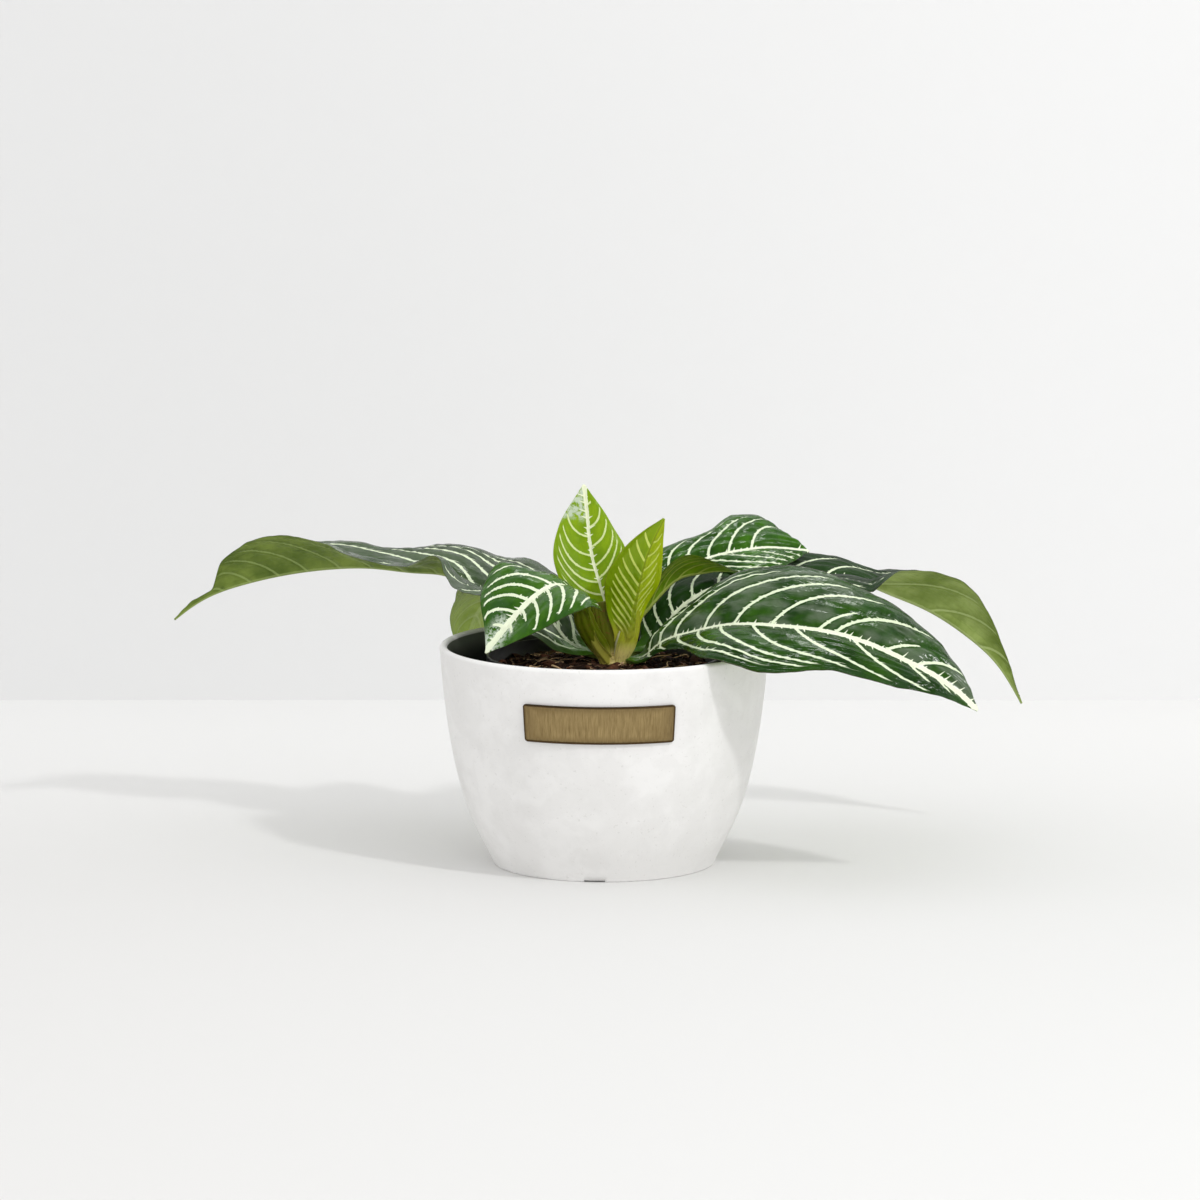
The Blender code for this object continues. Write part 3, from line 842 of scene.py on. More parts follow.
def closed_mesh(name: str, points: np.ndarray, faces: Sequence[Sequence[int]]) -> Mesh:
    """Build a smooth closed mesh with its faces outwards.

    Args:
        name: the mesh's name.
        points: a row for each point.
        faces: the points of each face.

    Returns:
        The mesh.
    """
    mesh = bpy.data.meshes.new(name)
    mesh.from_pydata(points.tolist(), [], [list(map(int, face)) for face in faces])
    bm = bmesh.new()
    bm.from_mesh(mesh)
    bmesh.ops.recalc_face_normals(bm, faces=bm.faces)
    bm.to_mesh(mesh)
    bm.free()
    mesh.shade_smooth()
    return mesh


def cut_away(obj: Object, cutters: bmesh.types.BMesh) -> None:
    """Cut shapes out of an object and keep the result as its mesh.

    Args:
        obj: the object.
        cutters: the shapes, which are used up.
    """
    mesh = bpy.data.meshes.new("cutter")
    cutters.to_mesh(mesh)
    cutters.free()
    cutter = new_object("cutter", mesh)
    modifier = obj.modifiers.new("cut", "BOOLEAN")
    modifier.operation = "DIFFERENCE"
    modifier.object = cutter
    keep_result(obj)
    bpy.data.objects.remove(cutter)


def ring(radius: float, height: float, sides: int) -> np.ndarray:
    """Return the points of a level circle around the Z axis, a row for each."""
    angles = np.arange(sides) * 2 * pi / sides
    return np.column_stack([radius * np.cos(angles), radius * np.sin(angles), np.full(sides, height)])


def tube_faces(rows: int, sides: int) -> list[list[int]]:
    """Join rings of points that follow each other into a closed tube.

    Args:
        rows: how many rings there are.
        sides: how many points a ring has.

    Returns:
        The first cap, the walls ring by ring and the last cap.
    """
    walls = []
    for start in range(0, (rows - 1) * sides, sides):
        for spot in range(sides):
            following = (spot + 1) % sides
            walls.append([start + spot, start + following, start + sides + following, start + sides + spot])
    return [list(range(sides)), *walls, list(range((rows - 1) * sides, rows * sides))]


def unit(vectors: np.ndarray) -> np.ndarray:
    """Return vectors brought to a length of 1."""
    return vectors / np.linalg.norm(vectors, axis=-1, keepdims=True)


def distances(points: np.ndarray) -> np.ndarray:
    """Return how far along a line of points each of them lies."""
    return np.concatenate([[0], np.cumsum(np.linalg.norm(np.diff(points, axis=0), axis=1))])


def arc(
    centre: tuple[float, float], radius: float, start: float, end: float, steps: int
) -> list[tuple[float, float]]:
    """Return points of a circular arc in the (radius, height) plane, from one angle to another."""
    angles = [start + (end - start) * step / steps for step in range(steps + 1)]
    return [(centre[0] + radius * cos(angle), centre[1] + radius * sin(angle)) for angle in angles]


def natural_spline(knots: np.ndarray, values: np.ndarray, where: np.ndarray) -> np.ndarray:
    """Read a natural cubic spline through rows of values.

    Args:
        knots: the place of each row.
        values: the rows.
        where: the places to read.

    Returns:
        A row for each place.
    """
    spans = np.diff(knots)
    count = len(knots)
    system = np.zeros((count, count))
    load = np.zeros_like(values)
    system[0, 0] = system[-1, -1] = 1
    for row in range(1, count - 1):
        system[row, row - 1 : row + 2] = (spans[row - 1], 2 * (spans[row - 1] + spans[row]), spans[row])
        slope_after = (values[row + 1] - values[row]) / spans[row]
        slope_before = (values[row] - values[row - 1]) / spans[row - 1]
        load[row] = 6 * (slope_after - slope_before)
    bends = np.linalg.solve(system, load)
    left = np.clip(np.searchsorted(knots, where) - 1, 0, count - 2)
    span = spans[left][:, None]
    before = (knots[left + 1] - where)[:, None] / span
    after = 1 - before
    straight = before * values[left] + after * values[left + 1]
    bow = (before**3 - before) * bends[left] + (after**3 - after) * bends[left + 1]
    return straight + bow * span**2 / 6


def level_spline(knots: np.ndarray, values: np.ndarray, where: np.ndarray) -> np.ndarray:
    """Read a cubic curve through values that never overshoots them.

    Args:
        knots: the place of each value.
        values: the values.
        where: the places to read.

    Returns:
        A value for each place.
    """
    spans = np.diff(knots)
    slopes = np.diff(values) / spans
    tangents = np.zeros(len(knots))
    for row in range(1, len(knots) - 1):
        if slopes[row - 1] * slopes[row] > 0:
            near = 2 * spans[row] + spans[row - 1]
            far = spans[row] + 2 * spans[row - 1]
            tangents[row] = (near + far) / (near / slopes[row - 1] + far / slopes[row])
    tangents[0], tangents[-1] = slopes[0], slopes[-1]
    left = np.clip(np.searchsorted(knots, where) - 1, 0, len(knots) - 2)
    part = (where - knots[left]) / spans[left]
    rest, done = (1 - part) ** 2, part**2
    start = (1 + 2 * part) * rest * values[left] + part * rest * spans[left] * tangents[left]
    end = done * (3 - 2 * part) * values[left + 1] + done * (part - 1) * spans[left] * tangents[left + 1]
    return start + end


# ---- Pots and plate ----


class Piece:
    """A sub-assembly with one finish and one place in the model."""

    finish: Finish
    slot: ClassVar[str]
    nodes: ClassVar[tuple[str, ...]] = ()

    def dress(self, obj: Object) -> None:
        """Give what was built its finish and its place in the model."""
        obj.data.materials.append(self.finish.material())
        place_piece(obj, self.slot, *self.nodes)


@dataclass
class OuterPot(Piece):
    """The cast bowl: its wall, round lip, flat foot and the shallow slots under its edge."""

    slot = "stone"
    nodes = ("cache_pot",)
    finish: StoneFinish
    height: float = 108 * MM
    wall: float = 3.7 * MM
    floor: float = 6 * MM
    foot_edge: float = 0.8 * MM
    floor_bevel: float = 6 * MM
    outline: Outline = (
        (54.6, 0.8), (57.7, 7.3), (62.2, 16), (68.3, 31), (73.9, 53), (78.1, 80), (80.5, 106)
    )
    wall_steps: int = 46
    lip_steps: int = 14
    foot_steps: int = 5
    segments: int = 224
    slot_count: int = 3
    slot_width: float = 10 * MM
    slot_height: float = 0.8 * MM
    slot_length: float = 9 * MM
    first_slot: float = radians(-95)

    def radius(self, height: float) -> float:
        """Return the outer radius at a height above the table."""
        table = np.array(self.outline) * MM
        return float(level_spline(table[:, 1], table[:, 0], np.array([height]))[0])

    def profile(self) -> list[tuple[float, float]]:
        """Outline the wall as a closed section.

        Returns:
            Its (radius, height) points, from the axis at the bottom.
        """
        lip = self.wall / 2
        low, top = self.outline[0][1] * MM, self.height - lip
        widest = self.outline[-1][1] * MM
        heights = np.linspace(low, top, self.wall_steps)
        outside = [(self.radius(min(height, widest)), height) for height in heights]
        inside = [(radius - self.wall, height) for radius, height in outside if height > self.floor * 2]
        edge = arc((outside[-1][0] - lip, top), lip, 0, pi, self.lip_steps)
        middle = (outside[0][0] - self.foot_edge, self.foot_edge)
        corner = arc(middle, self.foot_edge, -pi / 2, 0, self.foot_steps)
        foot = (inside[0][0] - self.floor_bevel, self.floor)
        return [(0, 0)] + corner[:-1] + outside[:-1] + edge + inside[-2::-1] + [foot, (0, self.floor)]

    def build(self) -> Object:
        """Build the bowl, cut its slots and mark its inside, where the stone finish paints shade.

        Returns:
            The bowl.
        """
        pot = new_object("outer_pot", turned_mesh("outer_pot", self.profile(), self.segments))
        cutters = bmesh.new()
        for slot in range(self.slot_count):
            angle = self.first_slot + slot * 2 * pi / self.slot_count
            box = bmesh.ops.create_cube(cutters, size=1)["verts"]
            size = (self.slot_length * 2, self.slot_width, self.slot_height * 2)
            bmesh.ops.scale(cutters, verts=box, vec=size)
            bmesh.ops.translate(cutters, verts=box, vec=(self.outline[0][0] * MM, 0, 0))
            turn = Matrix.Rotation(angle, 3, "Z")
            bmesh.ops.rotate(cutters, verts=box, cent=(0, 0, 0), matrix=turn)
        cut_away(pot, cutters)
        points = mesh_points(pot.data)
        radius = np.hypot(points[:, 0], points[:, 1])
        table = np.array(self.outline) * MM
        outer = np.interp(points[:, 2], table[:, 1], table[:, 0])
        # Inside is what lies past the middle of the wall, above the foot and below the lip's crown; the stone
        # finish paints shade there.
        lip = self.height - self.wall / 2 + 0.4 * MM
        inside = (radius < outer - self.wall * 0.7) & (points[:, 2] > 2 * MM) & (points[:, 2] < lip)
        store(pot.data, "inside", inside)
        return pot


@dataclass
class Plate(Piece):
    """The bare brass plate that follows the bowl's wall."""

    slot = "plate"
    nodes = ("pot_plate",)
    pot: OuterPot
    finish: BrassFinish
    angle: float = radians(-91.9)
    height: float = 18.5 * MM
    length: float = 74 * MM
    thickness: float = 1.3 * MM
    corner: float = 1.6 * MM
    centre: float = 81 * MM
    gap: float = 0.3 * MM
    border: float = 0.8 * MM
    border_rise: float = 0.15 * MM
    bevel: float = 0.35 * MM
    border_fade: float = 0.35 * MM
    edge_band: float = 3 * MM
    edge_spots: tuple[float, ...] = (0, 0.12, 0.28, 0.5, 0.8, 1.05, 1.25, 1.6, 2.2)

    def spots(self, half: float) -> np.ndarray:
        """Choose where the plate's points lie along one of its sides.

        Args:
            half: half the side's length.

        Returns:
            The places, close together at both ends.
        """
        near = np.array(self.edge_spots) * MM
        inner = half - self.edge_band
        middle = np.linspace(-inner, inner, max(5, int(half / MM)))
        return np.concatenate([near - half, middle, half - near[::-1]])

    def build(self) -> Object:
        """Build the plate as a front and a back sheet joined at their edge.

        Returns:
            The plate.
        """
        half, tall = self.length / 2, self.height / 2
        columns, levels = self.spots(half), self.spots(tall) / tall
        wide, high = len(columns), len(levels)
        points = np.zeros((2, wide, high, 3))
        border = np.zeros((wide, high))
        heights = np.zeros((wide, high))
        for column, along in enumerate(columns):
            into = min(max(0.0, abs(along) - (half - self.corner)), self.corner * 0.985)
            rise = tall - self.corner + (self.corner**2 - into**2) ** 0.5
            angle = self.angle + along / self.pot.radius(self.centre)
            for row, level in enumerate(levels):
                height = self.centre + level * rise
                inset = min(rise * (1 - abs(level)), half - abs(along))
                border[column, row] = 1 - min(1, max(0, (inset - self.border) / self.border_fade))
                heights[column, row] = level * rise
                rounding = self.bevel * (1 - min(1, inset / self.bevel)) ** 2
                lift = self.thickness - self.border_rise * (1 - border[column, row]) - rounding
                wall = self.pot.radius(height) + self.gap
                for sheet, depth in enumerate((0.0, lift)):
                    radius = wall + depth
                    points[sheet, column, row] = (radius * cos(angle), radius * sin(angle), height)
        ids = np.arange(2 * wide * high).reshape(2, wide, high)
        faces = []
        for column in range(wide - 1):
            for row in range(high - 1):
                spots = ((column, row), (column + 1, row), (column + 1, row + 1), (column, row + 1))
                faces += [[ids[1][spot] for spot in spots], [ids[0][spot] for spot in spots[::-1]]]
        for edge in (ids[:, :, 0], ids[:, :, -1], ids[:, 0], ids[:, -1]):
            for spot in range(edge.shape[1] - 1):
                faces.append([edge[0, spot], edge[0, spot + 1], edge[1, spot + 1], edge[1, spot]])
        mesh = closed_mesh("brass_plate", points.reshape(-1, 3), faces)
        for name, values in (("along", columns[:, None]), ("up", heights), ("border", border)):
            store(mesh, name, np.broadcast_to(values, (2, wide, high)).ravel())
        return new_object("brass_plate", mesh)


@dataclass
class NurseryPot(Piece):
    """The thin black grower's pot inside the bowl, with its rim band and drainage holes."""

    slot = "nursery_plastic"
    nodes = ("grow_pot",)
    finish: PlasticFinish
    rim: float = 57.6 * MM
    top: float = 103 * MM
    band: float = 9 * MM
    step: float = 1.4 * MM
    shoulder: float = 0.5 * MM
    foot_radius: float = 41 * MM
    foot: float = 6.3 * MM
    wall: float = 1.2 * MM
    segments: int = 144
    lip_steps: int = 8
    shoulder_steps: int = 4
    holes: int = 6
    hole_sides: int = 20
    hole_radius: float = 4 * MM
    hole_ring: float = 29 * MM
    first_hole: float = radians(1.1)

    def profile(self) -> list[tuple[float, float]]:
        """Outline the wall as a closed section.

        Returns:
            Its (radius, height) points, from the axis at the bottom.
        """
        step = self.top - self.band
        neck = self.rim - self.step
        lip = self.wall / 2
        edge = arc((self.rim - lip, self.top - lip), lip, 0, pi, self.lip_steps)
        middle = (self.rim - self.shoulder, step + self.shoulder)
        shoulder = arc(middle, self.shoulder, -pi / 2, 0, self.shoulder_steps)
        foot, corner = self.foot, self.foot_radius
        outside = [(0, foot), (corner - MM, foot), (corner, foot + MM), (neck, step)]
        inside = [(self.rim - self.wall - 0.1 * MM, step + 2 * MM), (neck - self.wall, step)]
        bottom = [(corner - self.wall, foot + self.wall), (0, foot + self.wall)]
        return outside + shoulder + edge + inside + bottom

    def build(self) -> Object:
        """Build the pot and cut its drainage holes.

        Returns:
            The pot.
        """
        pot = new_object("nursery_pot", turned_mesh("nursery_pot", self.profile(), self.segments))
        cutters = bmesh.new()
        for hole in range(self.holes):
            angle = self.first_hole + hole * 2 * pi / self.holes
            where = (self.hole_ring * cos(angle), self.hole_ring * sin(angle), self.foot)
            size = dict(radius1=self.hole_radius, radius2=self.hole_radius, depth=6 * MM)
            made = bmesh.ops.create_cone(cutters, cap_ends=True, segments=self.hole_sides, **size)
            bmesh.ops.translate(cutters, verts=made["verts"], vec=where)
        cut_away(pot, cutters)
        return pot


# ---- Potting mix ----


def waves(points: np.ndarray, scale: float, seed: int, count: int = 9) -> np.ndarray:
    """Return a smooth bumpy field made of a few slanted waves.

    Args:
        points: rows of coordinates.
        scale: waves in a metre.
        seed: which field.
        count: how many waves are summed.

    Returns:
        A value for each point, about -1 to 1.
    """
    chance = np.random.default_rng(seed)
    total = np.zeros(len(points))
    for _ in range(count):
        direction = chance.normal(size=points.shape[1])
        direction *= scale * 2 * pi * chance.uniform(0.6, 1.5) / np.linalg.norm(direction)
        total += np.sin(points @ direction + chance.uniform(0, 2 * pi))
    return total / count**0.5


@dataclass
class PottingMix:
    """Peat with crumbs, bark chips and coir fibres on it."""

    earth: EarthFinish
    bark: EarthFinish
    fibre: FibreFinish
    surface: Outline = ((0, 98.0), (14, 98.0), (30, 97.6), (44, 96.6))
    edge_height: float = 95.6 * MM
    edge_radius: float = 54.7 * MM
    foot_radius: float = 39.5 * MM
    foot: float = 7.8 * MM
    step: float = 94 * MM
    relief: float = 0.9 * MM
    rings: int = 46
    segments: int = 150

    def height(self, radius: float) -> float:
        """Return the surface's height at a radius."""
        table = np.array(self.surface + ((self.edge_radius / MM, self.edge_height / MM),)) * MM
        return float(np.interp(radius, table[:, 0], table[:, 1]))

    def build(self) -> Object:
        """Build the body of the mix, with a lumpy top.

        Returns:
            The body.
        """
        corners = ((self.foot_radius, self.foot), (self.edge_radius, self.step))
        rows = [ring(radius, height, self.segments) for radius, height in corners]
        for radius in np.linspace(self.edge_radius, 0.4 * MM, self.rings):
            row = ring(radius, self.height(radius), self.segments)
            flat = row[:, :2]
            lumps = waves(flat, 90, 3) * 0.5 + waves(flat, 240, 4) * 0.35 + waves(flat, 520, 5) * 0.22
            row[:, 2] += lumps * self.relief * min(1.0, (self.edge_radius - radius) / (2 * MM))
            rows.append(row)
        faces = tube_faces(len(rows), self.segments)
        return new_object("soil", closed_mesh("soil", np.concatenate(rows), faces))

    def lump(self, name: str, stretch: Sequence[float], seed: int) -> Object:
        """Build one small irregular lump.

        Args:
            name: its name.
            stretch: its size along each axis.
            seed: which lump.

        Returns:
            The lump, to be scattered.
        """
        bm = bmesh.new()
        bmesh.ops.create_icosphere(bm, subdivisions=2, radius=0.5)
        points = np.array([vert.co for vert in bm.verts])
        grown = 1 + 0.28 * waves(points, 0.9, seed)
        for vert, factor in zip(bm.verts, grown):
            vert.co = Vector([axis * size * factor for axis, size in zip(vert.co, stretch)])
        mesh = bpy.data.meshes.new(name)
        bm.to_mesh(mesh)
        bm.free()
        return new_object(name, mesh)

    def strand(self, name: str, bow: float, seed: int) -> Object:
        """Build one bent coir fibre, one metre long before it is scaled.

        Args:
            name: its name.
            bow: how far its middle stands from a straight line.
            seed: which bend.

        Returns:
            The fibre, to be scattered.
        """
        chance = np.random.default_rng(seed)
        steps, sides, half_width = 8, 4, 0.028
        places = np.linspace(-0.5, 0.5, steps + 1)
        sideways = bow * np.cos(places * pi) + 0.05 * np.sin(places * 9 + chance.uniform(0, 6))
        upward = 0.03 * np.sin(places * 7 + chance.uniform(0, 6))
        points = []
        for place, across, up in zip(places, sideways, upward):
            width = half_width * (1 - 0.6 * abs(place) * 2)
            for side in range(sides):
                angle = side * 2 * pi / sides
                points.append((place, across + width * cos(angle), up + width * sin(angle)))
        return new_object(name, closed_mesh(name, np.array(points), tube_faces(steps + 1, sides)))

    @staticmethod
    def scatter_tree() -> NodeTree:
        """Geometry tree: strews a shape over the upward faces of a surface.

        Returns:
            The tree.
        """
        inputs = {
            "Geometry": (GEOMETRY, None),
            "Shape": ("NodeSocketObject", None),
            "Count Per Area": (FLOAT, 1e5),
            "Smallest": (FLOAT, 0.001),
            "Largest": (FLOAT, 0.003),
            "Tilt": (FLOAT, 0.4),
            "Sink": (FLOAT, 0.0),
            "Inner Radius": (FLOAT, 0.0),
            "Outer Radius": (FLOAT, 0.0536),
            "Seed": ("NodeSocketInt", 1),
            "Material": (MATERIAL, None),
        }
        graph, given, result = group_tree("strewn_mix", "GeometryNodeTree", inputs, {"Geometry": GEOMETRY})
        math = graph.math
        upward = graph.parts(graph.read("GeometryNodeInputNormal"))[2]
        x, y, height = graph.parts(graph.read("GeometryNodeInputPosition"))
        flat = graph.joined(x, y)
        radius = graph.read("ShaderNodeVectorMath", {0: flat}, pick="Value", operation="LENGTH")
        inside = math("LESS_THAN", radius, given["Outer Radius"])
        inside = inside * math("GREATER_THAN", radius, given["Inner Radius"])
        allowed = math("GREATER_THAN", upward, 0.3) * math("GREATER_THAN", height, 90 * MM) * inside
        chosen = math("GREATER_THAN", allowed, 0.5)
        surface = {"Mesh": given["Geometry"], "Density": given["Count Per Area"]}
        surface |= {"Seed": given["Seed"], "Selection": chosen}
        spread = graph.read("GeometryNodeDistributePointsOnFaces", surface, pick="Points")

        def chance(low: Value, high: Value, offset: float) -> Signal:
            """Return a random number for each point."""
            inputs = {2: low, 3: high, "Seed": given["Seed"] + offset}
            return graph.read("FunctionNodeRandomValue", inputs, pick=1, data_type="FLOAT")

        size = chance(0.0, 1.0, 11)
        size = graph.blend(size ** 2.0, given["Smallest"], given["Largest"])
        lean = given["Tilt"] * -1.0
        leans = [chance(lean, given["Tilt"], offset) for offset in (21, 31)]
        turn = graph.joined(*leans, chance(0.0, 6.283, 41))
        shape = graph.read("GeometryNodeObjectInfo", {"Object": given["Shape"]}, pick="Geometry")
        strewn = {"Points": spread, "Instance": shape, "Rotation": turn, "Scale": size}
        placed = graph.read("GeometryNodeInstanceOnPoints", strewn)
        tone = {"Geometry": placed, "Name": "tone", "Value": chance(0.0, 1.0, 51)}
        toned = graph.read("GeometryNodeStoreNamedAttribute", tone, data_type="FLOAT", domain="INSTANCE")
        lowered = graph.joined(0.0, 0.0, given["Sink"] * -1.0)
        shift = {"Instances": toned, "Translation": lowered, "Local Space": False}
        moved = graph.read("GeometryNodeTranslateInstances", shift)
        real = graph.read("GeometryNodeRealizeInstances", {"Geometry": moved})
        finished = graph.read("GeometryNodeSetMaterial", {"Geometry": real, "Material": given["Material"]})
        graph.set(result["Geometry"], finished)
        return graph.tree

    def strew(self, soil: Object, name: str, shape: Object, finish: Finish, **sizes: Any) -> Object:
        """Strew one shape over the mix as a piece of its own.

        Args:
            soil: the body of the mix.
            name: the new piece's name.
            shape: what is strewn, which is used up.
            finish: its finish.
            sizes: the scatter tree's inputs, with _ for a space.

        Returns:
            The new piece.
        """
        tree = bpy.data.node_groups.get("strewn_mix") or self.scatter_tree()
        given = {key.replace("_", " ").title(): value for key, value in sizes.items()}
        piece = new_object(name, soil.data.copy())
        settle(piece, tree, given | {"Shape": shape, "Material": finish.material()})
        piece.name = piece.data.name = name
        bpy.data.objects.remove(shape)
        return piece

    def dress(self, soil: Object) -> None:
        """Strew the mix and give each piece its finish and place.

        Args:
            soil: the body of the mix.
        """
        crumbs = dict(smallest=0.9 * MM, largest=4.2 * MM, tilt=3.0, sink=0.2 * MM, seed=2)
        chips = dict(smallest=3 * MM, largest=9 * MM, tilt=0.7, sink=0.0, seed=7)
        fibres = dict(smallest=5 * MM, largest=19 * MM, tilt=0.22, sink=-1.3 * MM, seed=4)
        fibres["outer_radius"] = 45 * MM
        threads = dict(smallest=3 * MM, largest=9 * MM, tilt=0.5, sink=-0.9 * MM, seed=9)
        kinds = (
            ("soil_crumbs", self.lump("crumb", (1, 0.8, 0.7), 5), self.earth, 170000.0, crumbs),
            ("bark_chips", self.lump("chip", (1.3, 0.8, 0.35), 8), self.bark, 9000.0, chips),
            ("coir_fibres", self.strand("strand", 0.30, 3), self.fibre, 20000.0, fibres),
            ("coir_threads", self.strand("thread", -0.10, 6), self.fibre, 14000.0, threads),
        )
        pieces = [
            self.strew(soil, name, shape, finish, count_per_area=count, **sizes)
            for name, shape, finish, count, sizes in kinds
        ]
        soil.data.materials.append(self.earth.material())
        place_piece(soil, "potting_mix", "potting_mix")
        for piece in pieces:
            place_piece(piece, "potting_mix")


# ---- Stem and leaves ----


@dataclass
class Stem(Piece):
    """The short stem, with the rings that old leaves left."""

    slot = "stem"
    nodes = ("stem",)
    finish: StemFinish
    x: float = 4.5 * MM
    foot: float = 66 * MM
    outline: Outline = (
        (5.2, 96), (5.6, 99), (5.2, 102), (5.0, 105), (5.2, 108), (4.4, 111), (3.4, 116), (1.6, 119)
    )
    scar_heights: tuple[float, ...] = (98.6, 101.4, 104.6, 108.2)
    scar_swell: float = 0.35 * MM
    scar_reach: float = 0.45 * MM
    tip_rise: float = 0.6 * MM
    rows: int = 90
    segments: int = 64

    def build(self) -> Object:
        """Build the stem.

        Returns:
            The stem.
        """
        table = np.array(self.outline) * MM
        heights = np.linspace(table[0, 1], table[-1, 1], self.rows)
        radii = level_spline(table[:, 1], table[:, 0], heights)
        for scar in self.scar_heights:
            radii += self.scar_swell * np.exp(-(((heights - scar * MM) / self.scar_reach) ** 2))
        rows = [ring(table[0, 0], self.foot, self.segments)]
        for radius, height in zip(radii, heights):
            place = ring(radius, height, self.segments)
            swell = 1 + 0.05 * waves(place, 120, 12) + 0.03 * waves(place, 400, 13)
            rows.append(place * np.column_stack([swell, swell, 0 * swell + 1]))
        points = np.concatenate(rows + [np.array([[0, 0, table[-1, 1] + self.tip_rise]])])
        points[:, 0] += self.x
        last, end = (len(rows) - 1) * self.segments, len(points) - 1
        tip = [[last + spot, last + (spot + 1) % self.segments, end] for spot in range(self.segments)]
        faces = tube_faces(len(rows), self.segments)[:-1] + tip
        return new_object("stem_column", closed_mesh("stem_column", points, faces))


@dataclass(frozen=True)
class Petiole(Piece):
    """One clasping leaf stalk: a fluted, flattened rod from the stem to its blade.

    A station gives its x, y and z, its half width and its half depth, in millimetres.
    """

    slot = "stem"
    name: str
    finish: StemFinish
    stations: tuple[tuple[float, float, float, float, float], ...]
    facing: Point = (0.0, -1.0, 0.1)
    flutes: int = 9
    flute_depth: float = 0.10
    sides: int = 72
    rows: int = 48

    def build(self) -> Object:
        """Build the stalk.

        Returns:
            The stalk.
        """
        table = np.array(self.stations) * MM
        knots = distances(table[:, :3])
        where = np.linspace(0, knots[-1], self.rows)
        centre = natural_spline(knots, table[:, :3], where)
        tangent = unit(np.gradient(centre, where, axis=0))
        sideways = unit(np.cross(self.facing, tangent))
        outward = np.cross(tangent, sideways)
        angles = np.arange(self.sides) * 2 * pi / self.sides
        wide = level_spline(knots, table[:, 3], where)[:, None] * np.cos(angles)[None]
        deep = level_spline(knots, table[:, 4], where)[:, None] * np.sin(angles)[None]
        flutes = self.flute_depth * np.cos(angles * self.flutes)
        ribbed = 1 + flutes[None] * np.linspace(0.2, 1, self.rows)[:, None]
        points = centre[:, None] + (wide * ribbed)[..., None] * sideways[:, None]
        points = points + (deep * ribbed)[..., None] * outward[:, None]
        mesh = closed_mesh(self.name, points.reshape(-1, 3), tube_faces(self.rows, self.sides))
        store(mesh, "side", np.broadcast_to(np.cos(angles)[None], (self.rows, self.sides)).ravel())
        return new_object(self.name, mesh)


@dataclass(frozen=True)
class Sweep:
    """How far a side vein runs forward for each half width: its slope and its curl, at foot and tip."""

    slope: tuple[float, float] = (0.5, 0.9)
    curl: tuple[float, float] = (0.8, 1.2)


@dataclass(frozen=True)
class VeinPlan:
    """Where the side veins leave the midrib, as shares of it, and how they sweep towards the tip."""

    left: tuple[float, ...]
    right: tuple[float, ...]
    short_left: tuple[float, ...] = ()
    short_right: tuple[float, ...] = ()
    sweep_left: Sweep = Sweep()
    sweep_right: Sweep = Sweep()
    short_reach: float = 0.5
    full_reach: float = 0.96

    def measure(
        self, side: Side, along: np.ndarray, width: np.ndarray, margin: np.ndarray
    ) -> tuple[np.ndarray, np.ndarray, np.ndarray]:
        """Number the veins over one half of a leaf.

        Args:
            side: which half.
            along: each row's distance from the foot.
            width: each row's half width.
            margin: each column's share of the half width.

        Returns:
            At each point, the vein number, whole on a vein, the distance along that vein and its reach.
        """
        full, short = (self.left, self.short_left) if side is Side.LEFT else (self.right, self.short_right)
        sweep = self.sweep_left if side is Side.LEFT else self.sweep_right
        starts = np.array(sorted(full + short))
        reaches = np.array([self.short_reach if start in short else self.full_reach for start in starts])
        share = along / along[-1]
        slope = sweep.slope[0] + (sweep.slope[1] - sweep.slope[0]) * share
        curl = sweep.curl[0] + (sweep.curl[1] - sweep.curl[0]) * share
        forward = width[:, None] * (slope[:, None] * margin + curl[:, None] * margin**3)
        origin = (along[:, None] - forward) / along[-1]
        first = starts[0] - (starts[1] - starts[0]) / 2
        last = starts[-1] + (starts[-1] - starts[-2]) / 2
        knots = np.concatenate([[first], starts, [last]])
        numbers = np.concatenate([[-0.5], np.arange(len(starts)), [len(starts) - 0.5]])
        phase = level_spline(knots, numbers, np.clip(origin, first, last).ravel()).reshape(origin.shape)
        nearest = np.clip(np.floor(phase + 0.5), 0, len(starts) - 1).astype(int)
        return phase, np.hypot(forward, width[:, None] * margin[None, :]), reaches[nearest]


